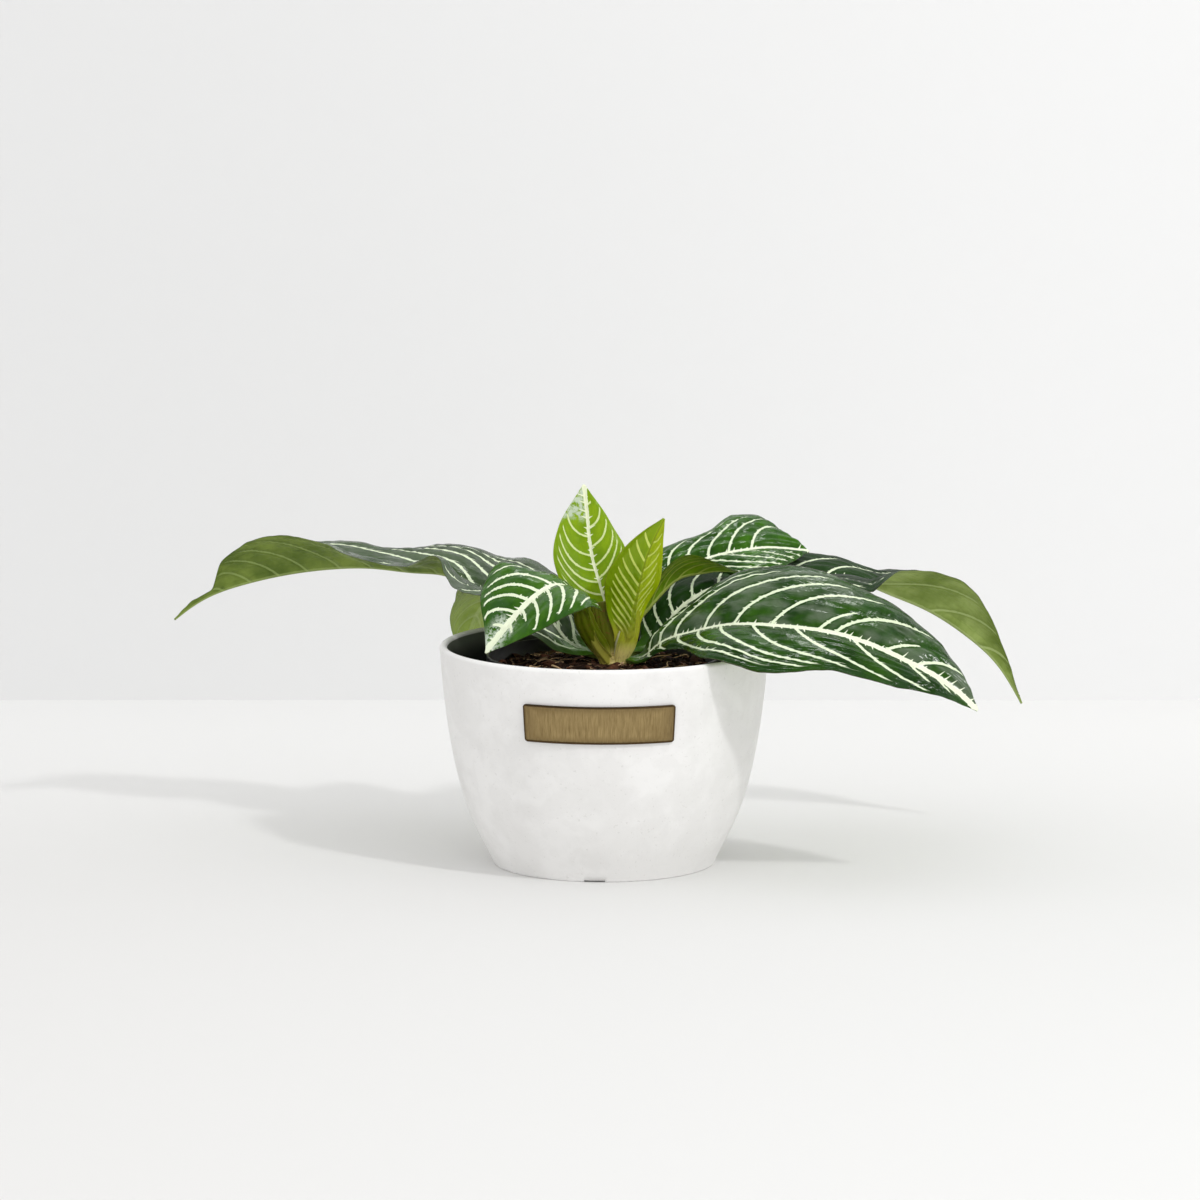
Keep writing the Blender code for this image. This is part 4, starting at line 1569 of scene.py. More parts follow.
@dataclass(frozen=True)
class Leaf:
    """One leaf: its stations, its veins, and how it is finished on each side.

    A station is one cross-section, seen from the leaf's foot: the midrib's x, y and z and the left and
    right half widths, in millimetres, and how far the left and right halves rise, in degrees.
    """

    name: str
    heading: float
    slot: str
    stations: tuple[tuple[float, float, float, float, float, float, float], ...]
    veins: VeinPlan
    top: LeafFinish
    underside: LeafFinish
    puff: float = 0.7 * MM
    ladder: float = 7 * MM
    ladder_depth: float = 0.45
    ripple: float = 1.0 * MM
    arch: float = 0.05
    row_step: float = 0.95 * MM
    columns: int = 24
    thickness: float = 0.55 * MM
    rib_depth: float = 2.0 * MM
    rib_reach: float = 2.1 * MM
    rib_taper: float = 0.85
    rib_fade: float = 0.05
    foot_length: float = 14 * MM
    foot_depth: float = 1.3 * MM
    foot_crest: float = 0.9 * MM
    crest: float = 0.15 * MM
    crest_reach: float = 1.6 * MM
    seed: float = 0.0

    def surface(self) -> dict[str, np.ndarray]:
        """Measure the leaf's middle surface.

        Returns:
            Arrays over rows and columns: points, across, run, margin, along and share, and the vein
            phase and reach for each side.
        """
        table = np.array(self.stations, float)
        line, widths, rises = table[:, :3] * MM, table[:, 3:5] * MM, np.radians(table[:, 5:])
        knots = distances(line)
        where = np.linspace(0, knots[-1], int(knots[-1] / self.row_step) + 1)
        midrib = natural_spline(knots, line, where)
        tangent = unit(np.gradient(midrib, where, axis=0))
        heading = radians(self.heading)
        up = unit(np.cross(tangent, (-sin(heading), cos(heading), 0)))
        across = np.cross(up, tangent)
        margin = np.append(np.linspace(0, 0.985, self.columns) ** 1.1, 1.0)
        halves, reaches, runs, phases, ends = [], [], [], [], []
        for side, column in ((Side.LEFT, 0), (Side.RIGHT, 1)):
            width = level_spline(knots, widths[:, column], where)
            rise = level_spline(knots, rises[:, column], where)
            direction = side.value * np.cos(rise)[:, None] * across + np.sin(rise)[:, None] * up
            outward = np.cos(rise)[:, None] * up - side.value * np.sin(rise)[:, None] * across
            reach = width[:, None] * margin[None, :]
            crown = self.arch * width[:, None] * (4 * margin * (1 - margin))[None, :]
            flat = midrib[:, None, :] + reach[:, :, None] * direction[:, None, :]
            halves.append(flat + crown[:, :, None] * outward[:, None, :])
            reaches.append(reach * side.value)
            measured = self.veins.measure(side, where, width, margin)
            for values, value in zip((phases, runs, ends), measured):
                values.append(value)
        joined = [
            np.concatenate([left[:, ::-1], right[:, 1:]], axis=1) for left, right in (halves, reaches, runs)
        ]
        rows, count = joined[1].shape
        whole, reach_of = np.zeros((2, rows, count)), np.ones((2, rows, count))
        for sheet, values in ((whole, phases), (reach_of, ends)):
            sheet[0, :, : count // 2 + 1] = values[0][:, ::-1]
            sheet[1, :, count // 2 :] = values[1]
        edges = np.concatenate([margin[::-1], margin[1:]])
        return {
            "points": joined[0],
            "across": joined[1],
            "run": joined[2],
            "phase": whole,
            "vein_reach": reach_of,
            "margin": np.broadcast_to(edges, (rows, count)),
            "along": np.broadcast_to(where[:, None], (rows, count)),
            "share": np.broadcast_to(where[:, None] / where[-1], (rows, count)),
        }

    @staticmethod
    def spacing(points: np.ndarray, phase: np.ndarray) -> np.ndarray:
        """Return how many metres one vein number takes up at each point.

        Args:
            points: the surface's points over rows and columns.
            phase: the vein number at each point.

        Returns:
            The distance at each point.
        """
        down, over = np.gradient(points, axis=0), np.gradient(points, axis=1)
        phase_down, phase_over = np.gradient(phase, axis=0), np.gradient(phase, axis=1)
        first, mixed, second = (down**2).sum(-1), (down * over).sum(-1), (over**2).sum(-1)
        area = np.maximum(first * second - mixed**2, 1e-18)
        slope = (second * phase_down**2 - 2 * mixed * phase_down * phase_over + first * phase_over**2) / area
        return np.clip(1 / np.sqrt(np.maximum(slope, 1e-3)), 1 * MM, 40 * MM)

    def build(self) -> Object:
        """Build the leaf as a thin closed shell with a rib below its midrib.

        Returns:
            The leaf.
        """
        given = self.surface()
        grid, across = given["points"], given["across"]
        rows, count = across.shape
        middle = count // 2
        normal = unit(np.cross(np.gradient(grid, axis=1), np.gradient(grid, axis=0)))
        blade = self.thickness / 2 * np.sqrt(1 - given["margin"] ** 6)
        foot = np.exp(-given["along"] / self.foot_length)
        rib = self.rib_depth * (1 - self.rib_taper * given["share"] ** 0.6) + self.foot_depth * foot
        rib = rib * np.exp(-((across / self.rib_reach) ** 2))
        crest = (self.foot_crest * foot + self.crest) * np.exp(-((across / self.crest_reach) ** 2))
        fade = np.minimum(1, (1 - given["margin"]) / self.rib_fade)
        top = grid + normal * (blade + crest * fade)[:, :, None]
        below = grid - normal * (blade + rib * fade)[:, :, None]
        upper = np.arange(rows * count).reshape(rows, count)
        lower = upper.copy()
        lower[:, 1:-1] = rows * count + np.arange(rows * (count - 2)).reshape(rows, count - 2)
        points = np.concatenate([top.reshape(-1, 3), below[:, 1:-1].reshape(-1, 3)])
        spots = np.array([[0, 0], [0, 1], [1, 1], [1, 0]])
        starts = np.stack(np.meshgrid(np.arange(rows - 1), np.arange(count - 1), indexing="ij"), -1)
        corners = starts.reshape(-1, 1, 2) + spots[None]
        sheets = [upper[corners[..., 0], corners[..., 1]][:, ::-1], lower[corners[..., 0], corners[..., 1]]]
        faces = [face for sheet in sheets for face in sheet.tolist()]
        places = corners[:, ::-1].tolist() + corners.tolist()
        underside = [0.0] * len(sheets[0]) + [1.0] * len(sheets[1])
        for row, order in ((0, 1), (rows - 1, -1)):
            for column in range(count - 1):
                around = [(upper, column), (upper, column + 1), (lower, column + 1), (lower, column)][::order]
                face, place = [], []
                for sheet, spot in around:
                    if sheet[row, spot] not in face:
                        face.append(int(sheet[row, spot]))
                        place.append([row, spot])
                faces.append(face)
                places.append(place)
                underside.append(0.0)
        mesh = bpy.data.meshes.new(self.name)
        mesh.from_pydata(points.tolist(), [], faces)
        mesh.shade_smooth()
        for name in ("along", "across", "share", "margin", "run"):
            values = np.concatenate([given[name].ravel(), given[name][:, 1:-1].ravel()])
            store(mesh, "vein_run" if name == "run" else name, values)
        store(mesh, "blade_normal", np.concatenate([normal.reshape(-1, 3), normal[:, 1:-1].reshape(-1, 3)]))
        store(mesh, "underside", np.array(underside), "FACE")
        flat = np.array([spot for place in places for spot in place])
        right = [min(spot[1] for spot in place) >= middle for place in places for _ in place]
        half = np.array(right).astype(int)
        scale = np.stack([self.spacing(grid, phase) for phase in given["phase"]])
        for side, edge in ((0, middle - 1), (1, middle + 1)):
            scale[side, :, middle] = scale[side, :, edge]
        for name, values in (("phase", given["phase"]), ("scale", scale), ("reach", given["vein_reach"])):
            store(mesh, "vein_" + name, values[half, flat[:, 0], flat[:, 1]], "CORNER")
        return new_object(self.name + "_blade", mesh)

    @staticmethod
    def quilt_tree() -> NodeTree:
        """Geometry tree: swells the blade between its veins and ripples its margin.

        Returns:
            The tree.
        """
        inputs = {
            "Geometry": (GEOMETRY, None),
            "Puff": (FLOAT, 0.0007),
            "Ladder": (FLOAT, 0.007),
            "Ladder Depth": (FLOAT, 0.45),
            "Ripple": (FLOAT, 0.001),
            "Seed": (FLOAT, 0.0),
            "Top": (MATERIAL, None),
            "Underside": (MATERIAL, None),
        }
        graph, given, result = group_tree("leaf_quilt", "GeometryNodeTree", inputs, {"Geometry": GEOMETRY})
        math = graph.math

        def named(name: str, data_type: str = "FLOAT") -> Signal:
            """Return a stored attribute."""
            return graph.read("GeometryNodeInputNamedAttribute", {"Name": name}, data_type=data_type)

        measures = ("vein_phase", "vein_run", "margin", "along", "across")
        phase, run, margin, along, across = map(named, measures)
        strip = math("FLOOR", phase)
        side = math("SIGN", across)
        swell = math("SINE", math("FRACT", phase) * pi) ** 0.7
        shift = graph.random(strip + side * 40.0, given["Seed"])
        rung = abs(math("SINE", (run / given["Ladder"] + shift) * pi)) ** 0.7
        depth = given["Ladder Depth"]
        cell = 1.0 - depth + depth * rung
        reach = abs(across)
        # The blade stays flat on the midrib and at its margin.
        window = graph.ramp(reach, 1.2 * MM, 5.5 * MM) * graph.ramp(margin, 1.0, 0.72)
        height = swell * cell * (window * given["Puff"])
        where = graph.joined(along, side * 0.2, given["Seed"])
        wave = graph.noise(where, 65.0, 2.0, 0.5) - 0.5
        ripple = margin ** 3.0 * given["Ripple"] * (wave * 4.0)
        push = {0: named("blade_normal", "FLOAT_VECTOR"), "Scale": height + ripple}
        lift = graph.read("ShaderNodeVectorMath", push, operation="SCALE")
        moved = graph.read("GeometryNodeSetPosition", {"Geometry": given["Geometry"], "Offset": lift})
        real = graph.read("GeometryNodeRealizeInstances", {"Geometry": moved})
        topped = graph.read("GeometryNodeSetMaterial", {"Geometry": real, "Material": given["Top"]})
        below = math("GREATER_THAN", named("underside"), 0.5)
        lined = {"Geometry": topped, "Selection": below, "Material": given["Underside"]}
        graph.set(result["Geometry"], graph.read("GeometryNodeSetMaterial", lined))
        return graph.tree

    def dress(self, leaf: Object) -> None:
        """Quilt the leaf, give each side its finish and give it its place in the model.

        Args:
            leaf: the leaf's shell.
        """
        tree = bpy.data.node_groups.get("leaf_quilt") or self.quilt_tree()
        given = {"Puff": self.puff, "Ladder": self.ladder, "Ladder Depth": self.ladder_depth}
        given |= {"Ripple": self.ripple, "Seed": self.seed}
        given |= {"Top": self.top.material(), "Underside": self.underside.material()}
        settle(leaf, tree, given)
        place_piece(leaf, self.slot, self.name)


# ---- This plant's finishes and leaves ----


STONE = StoneFinish("cast_stone", roughness=0.62, specular=0.35)
BRASS = BrassFinish("antique_brass", roughness=0.42, metallic=1.0)
PLASTIC = PlasticFinish("black_plastic", roughness=0.45)
EARTH = EarthFinish("peat", roughness=0.95, specular=0.15)
BARK = EarthFinish(
    "bark", roughness=0.8, specular=0.25, deep=(0.05, 0.017, 0.009), warm=(0.22, 0.082, 0.038), scale=220.0
)
FIBRE = FibreFinish("coir", roughness=0.75, specular=0.2)
STEM_SKIN = StemFinish("stem_skin", roughness=0.45)
OLIVE_STALK = StemFinish(
    "olive_stalk", roughness=0.38, specular=0.25, foot=(0.58, 0.52, 0.10), top=(0.12, 0.16, 0.003), scars=0.2
)
YELLOW_STALK = StemFinish(
    "yellow_stalk", roughness=0.38, specular=0.25,
    foot=(0.97, 0.84, 0.28), top=(0.36, 0.40, 0.012), scars=0.2,
    foot_height=0.103, top_height=0.112, pale_from=0.80,
)
SHADED_STALK = StemFinish(
    "shaded_stalk", roughness=0.42, specular=0.25, top=(0.13, 0.15, 0.004), scars=0.6,
    foot_height=0.101, top_height=0.108,
)
PETIOLES = (
    Petiole("petiole_left", OLIVE_STALK, (
        (1.8, -2.5, 96.5, 3.0, 2.2), (0.2, -4.5, 103, 3.7, 2.2), (-4.2, -9.6, 111, 4.8, 2.6),
        (-9.3, -16.4, 122, 4.8, 2.2), (-11.3, -19.9, 129.5, 3.2, 1.5), (-13.4, -24.2, 135.5, 0.9, 0.7),
    )),
    Petiole("petiole_middle", SHADED_STALK, (
        (4.6, -2.4, 96.5, 4.2, 2.6), (4.2, -3.4, 103, 4.8, 2.4), (2.8, -5.0, 112, 5.8, 1.9),
        (1.2, -6.4, 122, 6.6, 1.3), (0.0, -7.4, 130, 6.2, 0.8),
    ), flutes=17),
    Petiole("petiole_right", YELLOW_STALK, (
        (7.4, -3.0, 96.5, 3.2, 2.6), (8.6, -5.0, 103, 4.0, 2.6), (10.8, -7.2, 110, 4.9, 2.1),
        (12.8, -6.2, 118, 4.6, 1.2), (14.0, -5.6, 126, 3.0, 0.7),
    ), flutes=19),
    Petiole("petiole_back", SHADED_STALK, (
        (4.2, 2.6, 96.5, 3.0, 2.4), (3.6, 4.2, 104, 3.4, 2.2), (2.6, 6.2, 112, 4.0, 1.8),
        (1.2, 9.0, 121, 3.0, 1.0),
    ), facing=(0.0, 1.0, 0.1)),
)

CREAM = (0.86, 0.92, 0.70)
DARK_TOP = LeafFinish(
    "dark_top", roughness=0.21, specular=0.4,
    # Faint pale clouds over the blade: painted sheen.
    blade=(0.030, 0.105, 0.003), shade=(0.009, 0.040, 0.002), bloom=(0.035, 0.085, 0.035), bloom_amount=0.35,
    vein=CREAM, lateral_tone=(0.80, 0.90, 0.64), foot=(0.05, 0.14, 0.008),
)
DARK_UNDER = LeafFinish(
    "dark_under", roughness=0.40, specular=0.25,
    blade=(0.32, 0.41, 0.11), shade=(0.14, 0.21, 0.022), vein=(0.46, 0.56, 0.22),
    lateral_tone=(0.50, 0.60, 0.25), vein_strength=0.5, raised=1.0, relief=0.9 * MM,
    midrib_thorn=0.0, thorn=0.0, speckle=0.0,
    midrib_foot=1.8 * MM, midrib_tip=0.6 * MM, lateral=0.6 * MM,
    edge=(0.06, 0.10, 0.03), foot=(0.20, 0.28, 0.05),
)
OLIVE_UNDER = LeafFinish(
    "olive_under", roughness=0.36, specular=0.2,
    blade=(0.17, 0.31, 0.001), shade=(0.09, 0.17, 0.001), vein=(0.45, 0.52, 0.12),
    lateral_tone=(0.36, 0.42, 0.08), vein_strength=0.7, raised=1.0, midrib_thorn=0.0, thorn=0.0, speckle=0.0,
    midrib_foot=1.8 * MM, midrib_tip=0.5 * MM, lateral=0.4 * MM, foot=(0.42, 0.40, 0.06), foot_share=0.30,
)
YOUNG_TOP = LeafFinish(
    "young_top", roughness=0.30, specular=0.25,
    blade=(0.28, 0.44, 0.001), shade=(0.17, 0.31, 0.001),
    vein=(0.88, 0.92, 0.66), lateral_tone=(0.74, 0.84, 0.40),
    midrib_foot=0.8 * MM, midrib_tip=1.1 * MM, lateral=0.5 * MM,
    midrib_thorn=2.6 * MM, thorn=0.3 * MM, speckle=0.15,
    net=0.25, relief=0.35 * MM, edge=(0.45, 0.55, 0.05), foot=(0.45, 0.45, 0.04), foot_share=0.3,
)
FRONT_YOUNG = replace(
    YOUNG_TOP, name="front_young",
    blade=(0.50, 0.63, 0.004), shade=(0.31, 0.43, 0.002),
    vein=(0.20, 0.27, 0.006), lateral_tone=(0.70, 0.80, 0.18),
    # Painted shade: the right half darker all over, where it faces away from the light.
    vein_strength=0.85, toned_side=Side.RIGHT,
    side_tone=(0.13, 0.25, 0.001), side_amount=0.75, side_patches=0.0,
    midrib_foot=0.35 * MM, midrib_tip=0.18 * MM, lateral=0.58 * MM,
    midrib_thorn=0.0, thorn=0.0, edge=(0.25, 0.18, 0.03),
)

YOUNG_BACK = Leaf(
    "leaf_young_back", 100, "young_leaf", (
        (4, 3, 108, 2, 2, 30, 30),
        (2.6, 7, 114, 4.6, 4.2, 30, 30),
        (1, 9, 123, 11, 9, 20, 20),
        (-2, 11, 135, 18, 15, 12, 12),
        (-6, 14, 149, 20, 17, 10, 10),
        (-8, 17, 165, 15, 11, 8, 8),
        (-10, 19, 184, 0.5, 0.5, 5, 5),
    ),
    VeinPlan(
        left=(0.22, 0.31, 0.39, 0.465, 0.56, 0.675),
        right=(0.22, 0.32, 0.41, 0.49, 0.61, 0.73), short_right=(0.87,),
        sweep_left=Sweep((0.15, 0.35), (1.0, 1.3)), sweep_right=Sweep((0.3, 0.5), (0.9, 1.4)),
    ),
    replace(YOUNG_TOP, name="young_back_top", silver_from=0.76, silver_side=Side.LEFT),
    replace(OLIVE_UNDER, name="young_back_under"),
    puff=0.5 * MM, ladder=6 * MM, ladder_depth=0.3, ripple=0.4 * MM, seed=1.0,
)
YOUNG_FRONT = Leaf(
    "leaf_young_front", -64, "young_leaf", (
        (7, -3, 104, 2.6, 3, 20, 20),
        (12, -8, 113, 6.5, 8, 30, 30),
        (14, -10, 125, 10, 13, 25, 25),
        (17, -13, 140, 14, 17, 15, 15),
        (20, -15, 152, 12, 13, 15, 15),
        (25, -15, 164, 6, 6, 15, 15),
        (29, -15, 172, 0.5, 0.5, 10, 10),
    ),
    VeinPlan(
        left=(0.14, 0.20, 0.26, 0.32, 0.39, 0.46, 0.54, 0.63, 0.73, 0.83),
        right=(0.13, 0.18, 0.23, 0.28, 0.335, 0.39, 0.45, 0.52, 0.60, 0.69, 0.79),
        sweep_left=Sweep((0.0, 0.1), (1.4, 1.8)), sweep_right=Sweep((0.9, 0.9), (0.2, 0.3)), full_reach=0.85,
    ),
    replace(FRONT_YOUNG, name="young_front_top"),
    replace(FRONT_YOUNG, name="young_front_under", raised=1.0),
    puff=0.9 * MM, ladder=5 * MM, ladder_depth=0.2, ripple=0.4 * MM, seed=2.0,
)
SECOND_LEFT = Leaf(
    "leaf_second_left", 216, "leaf", (
        (2, -3, 101, 3.4, 2.6, 20, 20),
        (-6, -12, 113, 3.2, 3.2, 20, 20),
        (-11.5, -20.5, 131, 4.5, 4.5, 0, 10),
        (-15, -26.5, 138, 24, 16, -12, 10),
        (-23, -33, 142, 28, 22, -16, 10),
        (-31.8, -38, 138, 25, 31, -15, 24),
        (-40, -42, 131, 20, 27, -15, 24),
        (-51, -46, 118, 9, 9, -5, 44),
        (-57, -48, 111, 0.5, 0.5, 0, 5),
    ),
    VeinPlan(
        left=(0.20, 0.27, 0.34, 0.40, 0.47, 0.535, 0.60, 0.675),
        right=(0.22, 0.30, 0.38, 0.46, 0.56, 0.63, 0.69, 0.77),
        short_left=(0.745, 0.83), short_right=(0.85,),
        sweep_left=Sweep((0.1, 0.4), (0.4, 0.6)), sweep_right=Sweep((0.1, 0.4), (0.5, 0.9)),
    ),
    replace(
        YOUNG_TOP, name="second_left_top",
        blade=(0.055, 0.170, 0.004), shade=(0.020, 0.085, 0.003), vein=CREAM, lateral_tone=(0.82, 0.90, 0.66),
        # Pale clouds over the blade: painted sheen.
        specular=0.4, roughness=0.24, bloom=(0.06, 0.13, 0.05), bloom_amount=0.3, edge=(0.05, 0.045, 0.012),
        midrib_foot=0.8 * MM, midrib_tip=2.2 * MM, lateral=0.8 * MM,
        midrib_thorn=2.0 * MM, thorn=0.9 * MM, speckle=0.3,
        silver_from=0.80, silver_reach=9 * MM, foot=(0.18, 0.24, 0.01), foot_share=0.14, relief=0.5 * MM,
    ),
    replace(
        OLIVE_UNDER, name="second_left_under",
        # Blade and shade lightened: painted light on an underside that falls in shade.
        blade=(0.26, 0.36, 0.01), shade=(0.17, 0.26, 0.005),
    ),
    puff=1.3 * MM, ladder=6 * MM, ripple=0.8 * MM, seed=3.0,
)
SECOND_RIGHT = Leaf(
    "leaf_second_right", 25, "leaf", (
        (7, 0.8, 111, 2, 2, 10, 10),
        (18, 9, 121, 6, 9, 30, 40),
        (29, 15, 132, 9, 15, 30, 50),
        (37, 18, 138, 9, 17, 30, 50),
        (47, 20, 140, 8, 14, 30, 45),
        (57, 22, 141, 6, 8, 20, 25),
        (67, 24, 140, 0.5, 0.5, 0, 0),
    ),
    VeinPlan(
        left=(0.06, 0.13, 0.20, 0.30, 0.42, 0.56, 0.70), right=(0.06, 0.13, 0.20, 0.30, 0.42, 0.56, 0.70),
        sweep_left=Sweep((1.8, 1.8), (1.2, 1.2)), sweep_right=Sweep((1.8, 1.8), (1.2, 1.2)),
    ),
    replace(
        DARK_TOP, name="second_right_top",
        blade=(0.05, 0.12, 0.010), lateral_tone=(0.60, 0.66, 0.35),
    ),
    replace(OLIVE_UNDER, name="second_right_under"),
    puff=0.5 * MM, ripple=0.4 * MM, seed=4.0,
)
THIRD_FRONT = Leaf(
    "leaf_third_front", -20, "leaf", (
        (7, -1.4, 101.5, 2, 2, 10, -5),
        (12, -5, 101.4, 2.6, 2.4, 20, -10),
        (18, -10, 102.3, 5, 4, 30, -20),
        (26, -17, 109.6, 10, 6, 40, -34),
        (42, -30, 118.2, 22, 12, 45, -30),
        (60, -43, 123.9, 33, 27, 45, -27),
        (85, -55, 125.2, 38, 31, 42, -37),
        (115, -65, 122.2, 31, 23, 38, -38),
        (144, -72, 111.2, 24, 18, 34, -34),
        (164, -76, 100.2, 13, 9, 30, -30),
        (178, -78, 88.2, 0.5, 0.5, 30, -30),
    ),
    VeinPlan(
        left=(0.10, 0.14, 0.19, 0.28, 0.365, 0.46, 0.615, 0.82),
        right=(0.10, 0.145, 0.205, 0.265, 0.33, 0.415, 0.52, 0.66),
        short_left=(0.575, 0.74), short_right=(0.80, 0.875),
        sweep_left=Sweep((0.1, 1.2), (1.2, 1.4)), sweep_right=Sweep((-0.2, 2.0), (0.3, 3.0)),
    ),
    replace(
        DARK_TOP, name="third_front_top",
        midrib_foot=0.7 * MM, midrib_tip=1.7 * MM, lateral=0.78 * MM, seed=5.0,
        # Painted sheen: grey patches over the left half, between the veins.
        toned_side=Side.LEFT, side_tone=(0.14, 0.18, 0.12), side_amount=0.65, speckle=0.2,
    ),
    replace(DARK_UNDER, name="third_front_under"),
    puff=1.7 * MM, ladder=7.5 * MM, ladder_depth=0.5, ripple=1.0 * MM, seed=5.0,
)
THIRD_BACK = Leaf(
    "leaf_third_back", 160, "leaf", (
        (2, 0.5, 102.5, 2, 2, 10, 10),
        (-11, 7, 104, 10, 5, -8, 40),
        (-18, 11, 107, 18, 12, -6, 45),
        (-24, 15, 114, 24, 18, -8, 40),
        (-30, 18, 120, 22, 22, -6, 35),
        (-43, 25, 127, 23, 27, 5, 30),
        (-60, 36, 129, 24, 30, 6, 28),
        (-70, 42, 132, 24, 30, 17, 25),
        (-77, 46, 135, 24, 30, 30, 22),
        (-93, 52, 136, 22, 30, 13, 18),
        (-115, 60, 137, 24, 28, 19, 12),
        (-132, 66, 136, 25, 28, 36, 20),
        (-158, 72, 132, 28, 24, 49, 28),
        (-184, 77, 125, 19, 12, 52, 28),
        (-197, 79, 120, 3.2, 2.8, 40, 20),
        (-207, 81, 114, 2.2, 2, 40, 20),
        (-216, 82, 107, 0.5, 0.5, 40, 20),
    ),
    VeinPlan(
        left=(0.05, 0.09, 0.14, 0.21, 0.28, 0.35, 0.42, 0.49, 0.56, 0.63, 0.70, 0.76, 0.82, 0.88),
        right=(0.06, 0.12, 0.18, 0.25, 0.33, 0.42, 0.53, 0.66),
        sweep_left=Sweep((0.5, 0.9), (0.6, 0.8)), sweep_right=Sweep((1.6, 2.6), (0.9, 1.2)),
    ),
    replace(
        DARK_TOP, name="third_back_top",
        # Greyed blade and pale clouds: painted sheen over the top.
        blade=(0.076, 0.125, 0.050), shade=(0.034, 0.064, 0.026),
        bloom=(0.13, 0.155, 0.12), bloom_amount=0.55,
        midrib_foot=1.2 * MM, midrib_tip=1.5 * MM, lateral=0.72 * MM, seed=6.0,
    ),
    replace(
        DARK_UNDER, name="third_back_under",
        blade=(0.20, 0.275, 0.042), shade=(0.085, 0.14, 0.010),
        vein=(0.36, 0.45, 0.14), lateral_tone=(0.36, 0.46, 0.15),
    ),
    puff=1.6 * MM, ladder=7.5 * MM, ladder_depth=0.5, ripple=1.0 * MM, seed=6.0,
)
FOURTH_BACK = Leaf(
    "leaf_fourth_back", 20, "leaf", (
        (5.4, 3.2, 105.4, 1.6, 1.6, 10, 10),
        (20, 30, 124, 6.5, 5, 30, -10),
        (34, 41, 135, 16, 8, 44, -16),
        (54, 46, 144, 20, 14, 26, -22),
        (69, 47, 147, 30, 22, 27, -22),
        (81, 49, 148, 29, 22, 27, -22),
        (93, 51, 147, 13, 12, 22, -22),
        (102, 52, 146, 0.5, 0.5, 20, -20),
    ),
    VeinPlan(
        left=(0.20, 0.28, 0.36, 0.44, 0.52, 0.60, 0.68, 0.77),
        right=(0.20, 0.29, 0.38, 0.47, 0.56, 0.65, 0.74, 0.83),
        sweep_left=Sweep((0.2, 0.4), (0.6, 0.9)), sweep_right=Sweep((1.0, 1.4), (0.8, 1.2)),
    ),
    replace(
        DARK_TOP, name="fourth_back_top",
        blade=(0.055, 0.19, 0.004), shade=(0.014, 0.06, 0.002), specular=0.35, relief=0.35 * MM,
        midrib_foot=0.8 * MM, midrib_tip=1.1 * MM, lateral=0.66 * MM, seed=7.0,
    ),
    replace(DARK_UNDER, name="fourth_back_under"),
    puff=2.0 * MM, ladder=6 * MM, ladder_depth=0.6, ripple=0.8 * MM, seed=7.0,
)
FIFTH_RIGHT = Leaf(
    "leaf_fifth_right", 16, "leaf", (
        (7, 0.8, 103.6, 1.7, 2, 10, 5),
        (12, 3, 103.9, 2.2, 2.4, 10, 10),
        (19, 6, 104.5, 5.5, 4, 30, -10),
        (26, 9, 108, 13, 8, 46, -20),
        (33, 12, 118, 19, 10, 42, -20),
        (45, 18, 128, 23, 20, 24, -30),
        (57, 24, 133, 22, 24, 16, -20),
        (80, 34, 136, 27, 28, 18, -8),
        (109, 43, 135, 30, 30, 15, -5),
        (127, 48, 132, 30, 28, 12, -5),
        (138, 50, 127, 29, 24, 16, 32),
        (160, 54, 117, 28, 28, 38, 46),
        (181, 57, 103, 20, 18.5, 50, 50),
        (195, 59, 90, 7, 7.5, 25, 50),
        (209, 60, 68, 0.5, 0.5, 0, 20),
    ),
    VeinPlan(
        left=(0.08, 0.115, 0.15, 0.20, 0.26, 0.33, 0.41, 0.49, 0.57, 0.65, 0.73, 0.81, 0.88),
        right=(0.08, 0.12, 0.17, 0.23, 0.31, 0.43, 0.58, 0.72, 0.85),
        sweep_left=Sweep((0.2, 1.8), (0.3, 1.6)), sweep_right=Sweep((0.8, 1.8), (0.8, 1.6)),
    ),
    replace(
        DARK_TOP, name="fifth_right_top",
        blade=(0.016, 0.058, 0.006), shade=(0.006, 0.024, 0.003),
        # Faint painted sheen.
        bloom_amount=0.1, roughness=0.38, specular=0.12,
        midrib_foot=1.2 * MM, midrib_tip=1.6 * MM, lateral=0.68 * MM, seed=8.0,
    ),
    replace(DARK_UNDER, name="fifth_right_under"),
    puff=1.5 * MM, ladder=7.5 * MM, ladder_depth=0.5, ripple=1.0 * MM, seed=8.0,
)
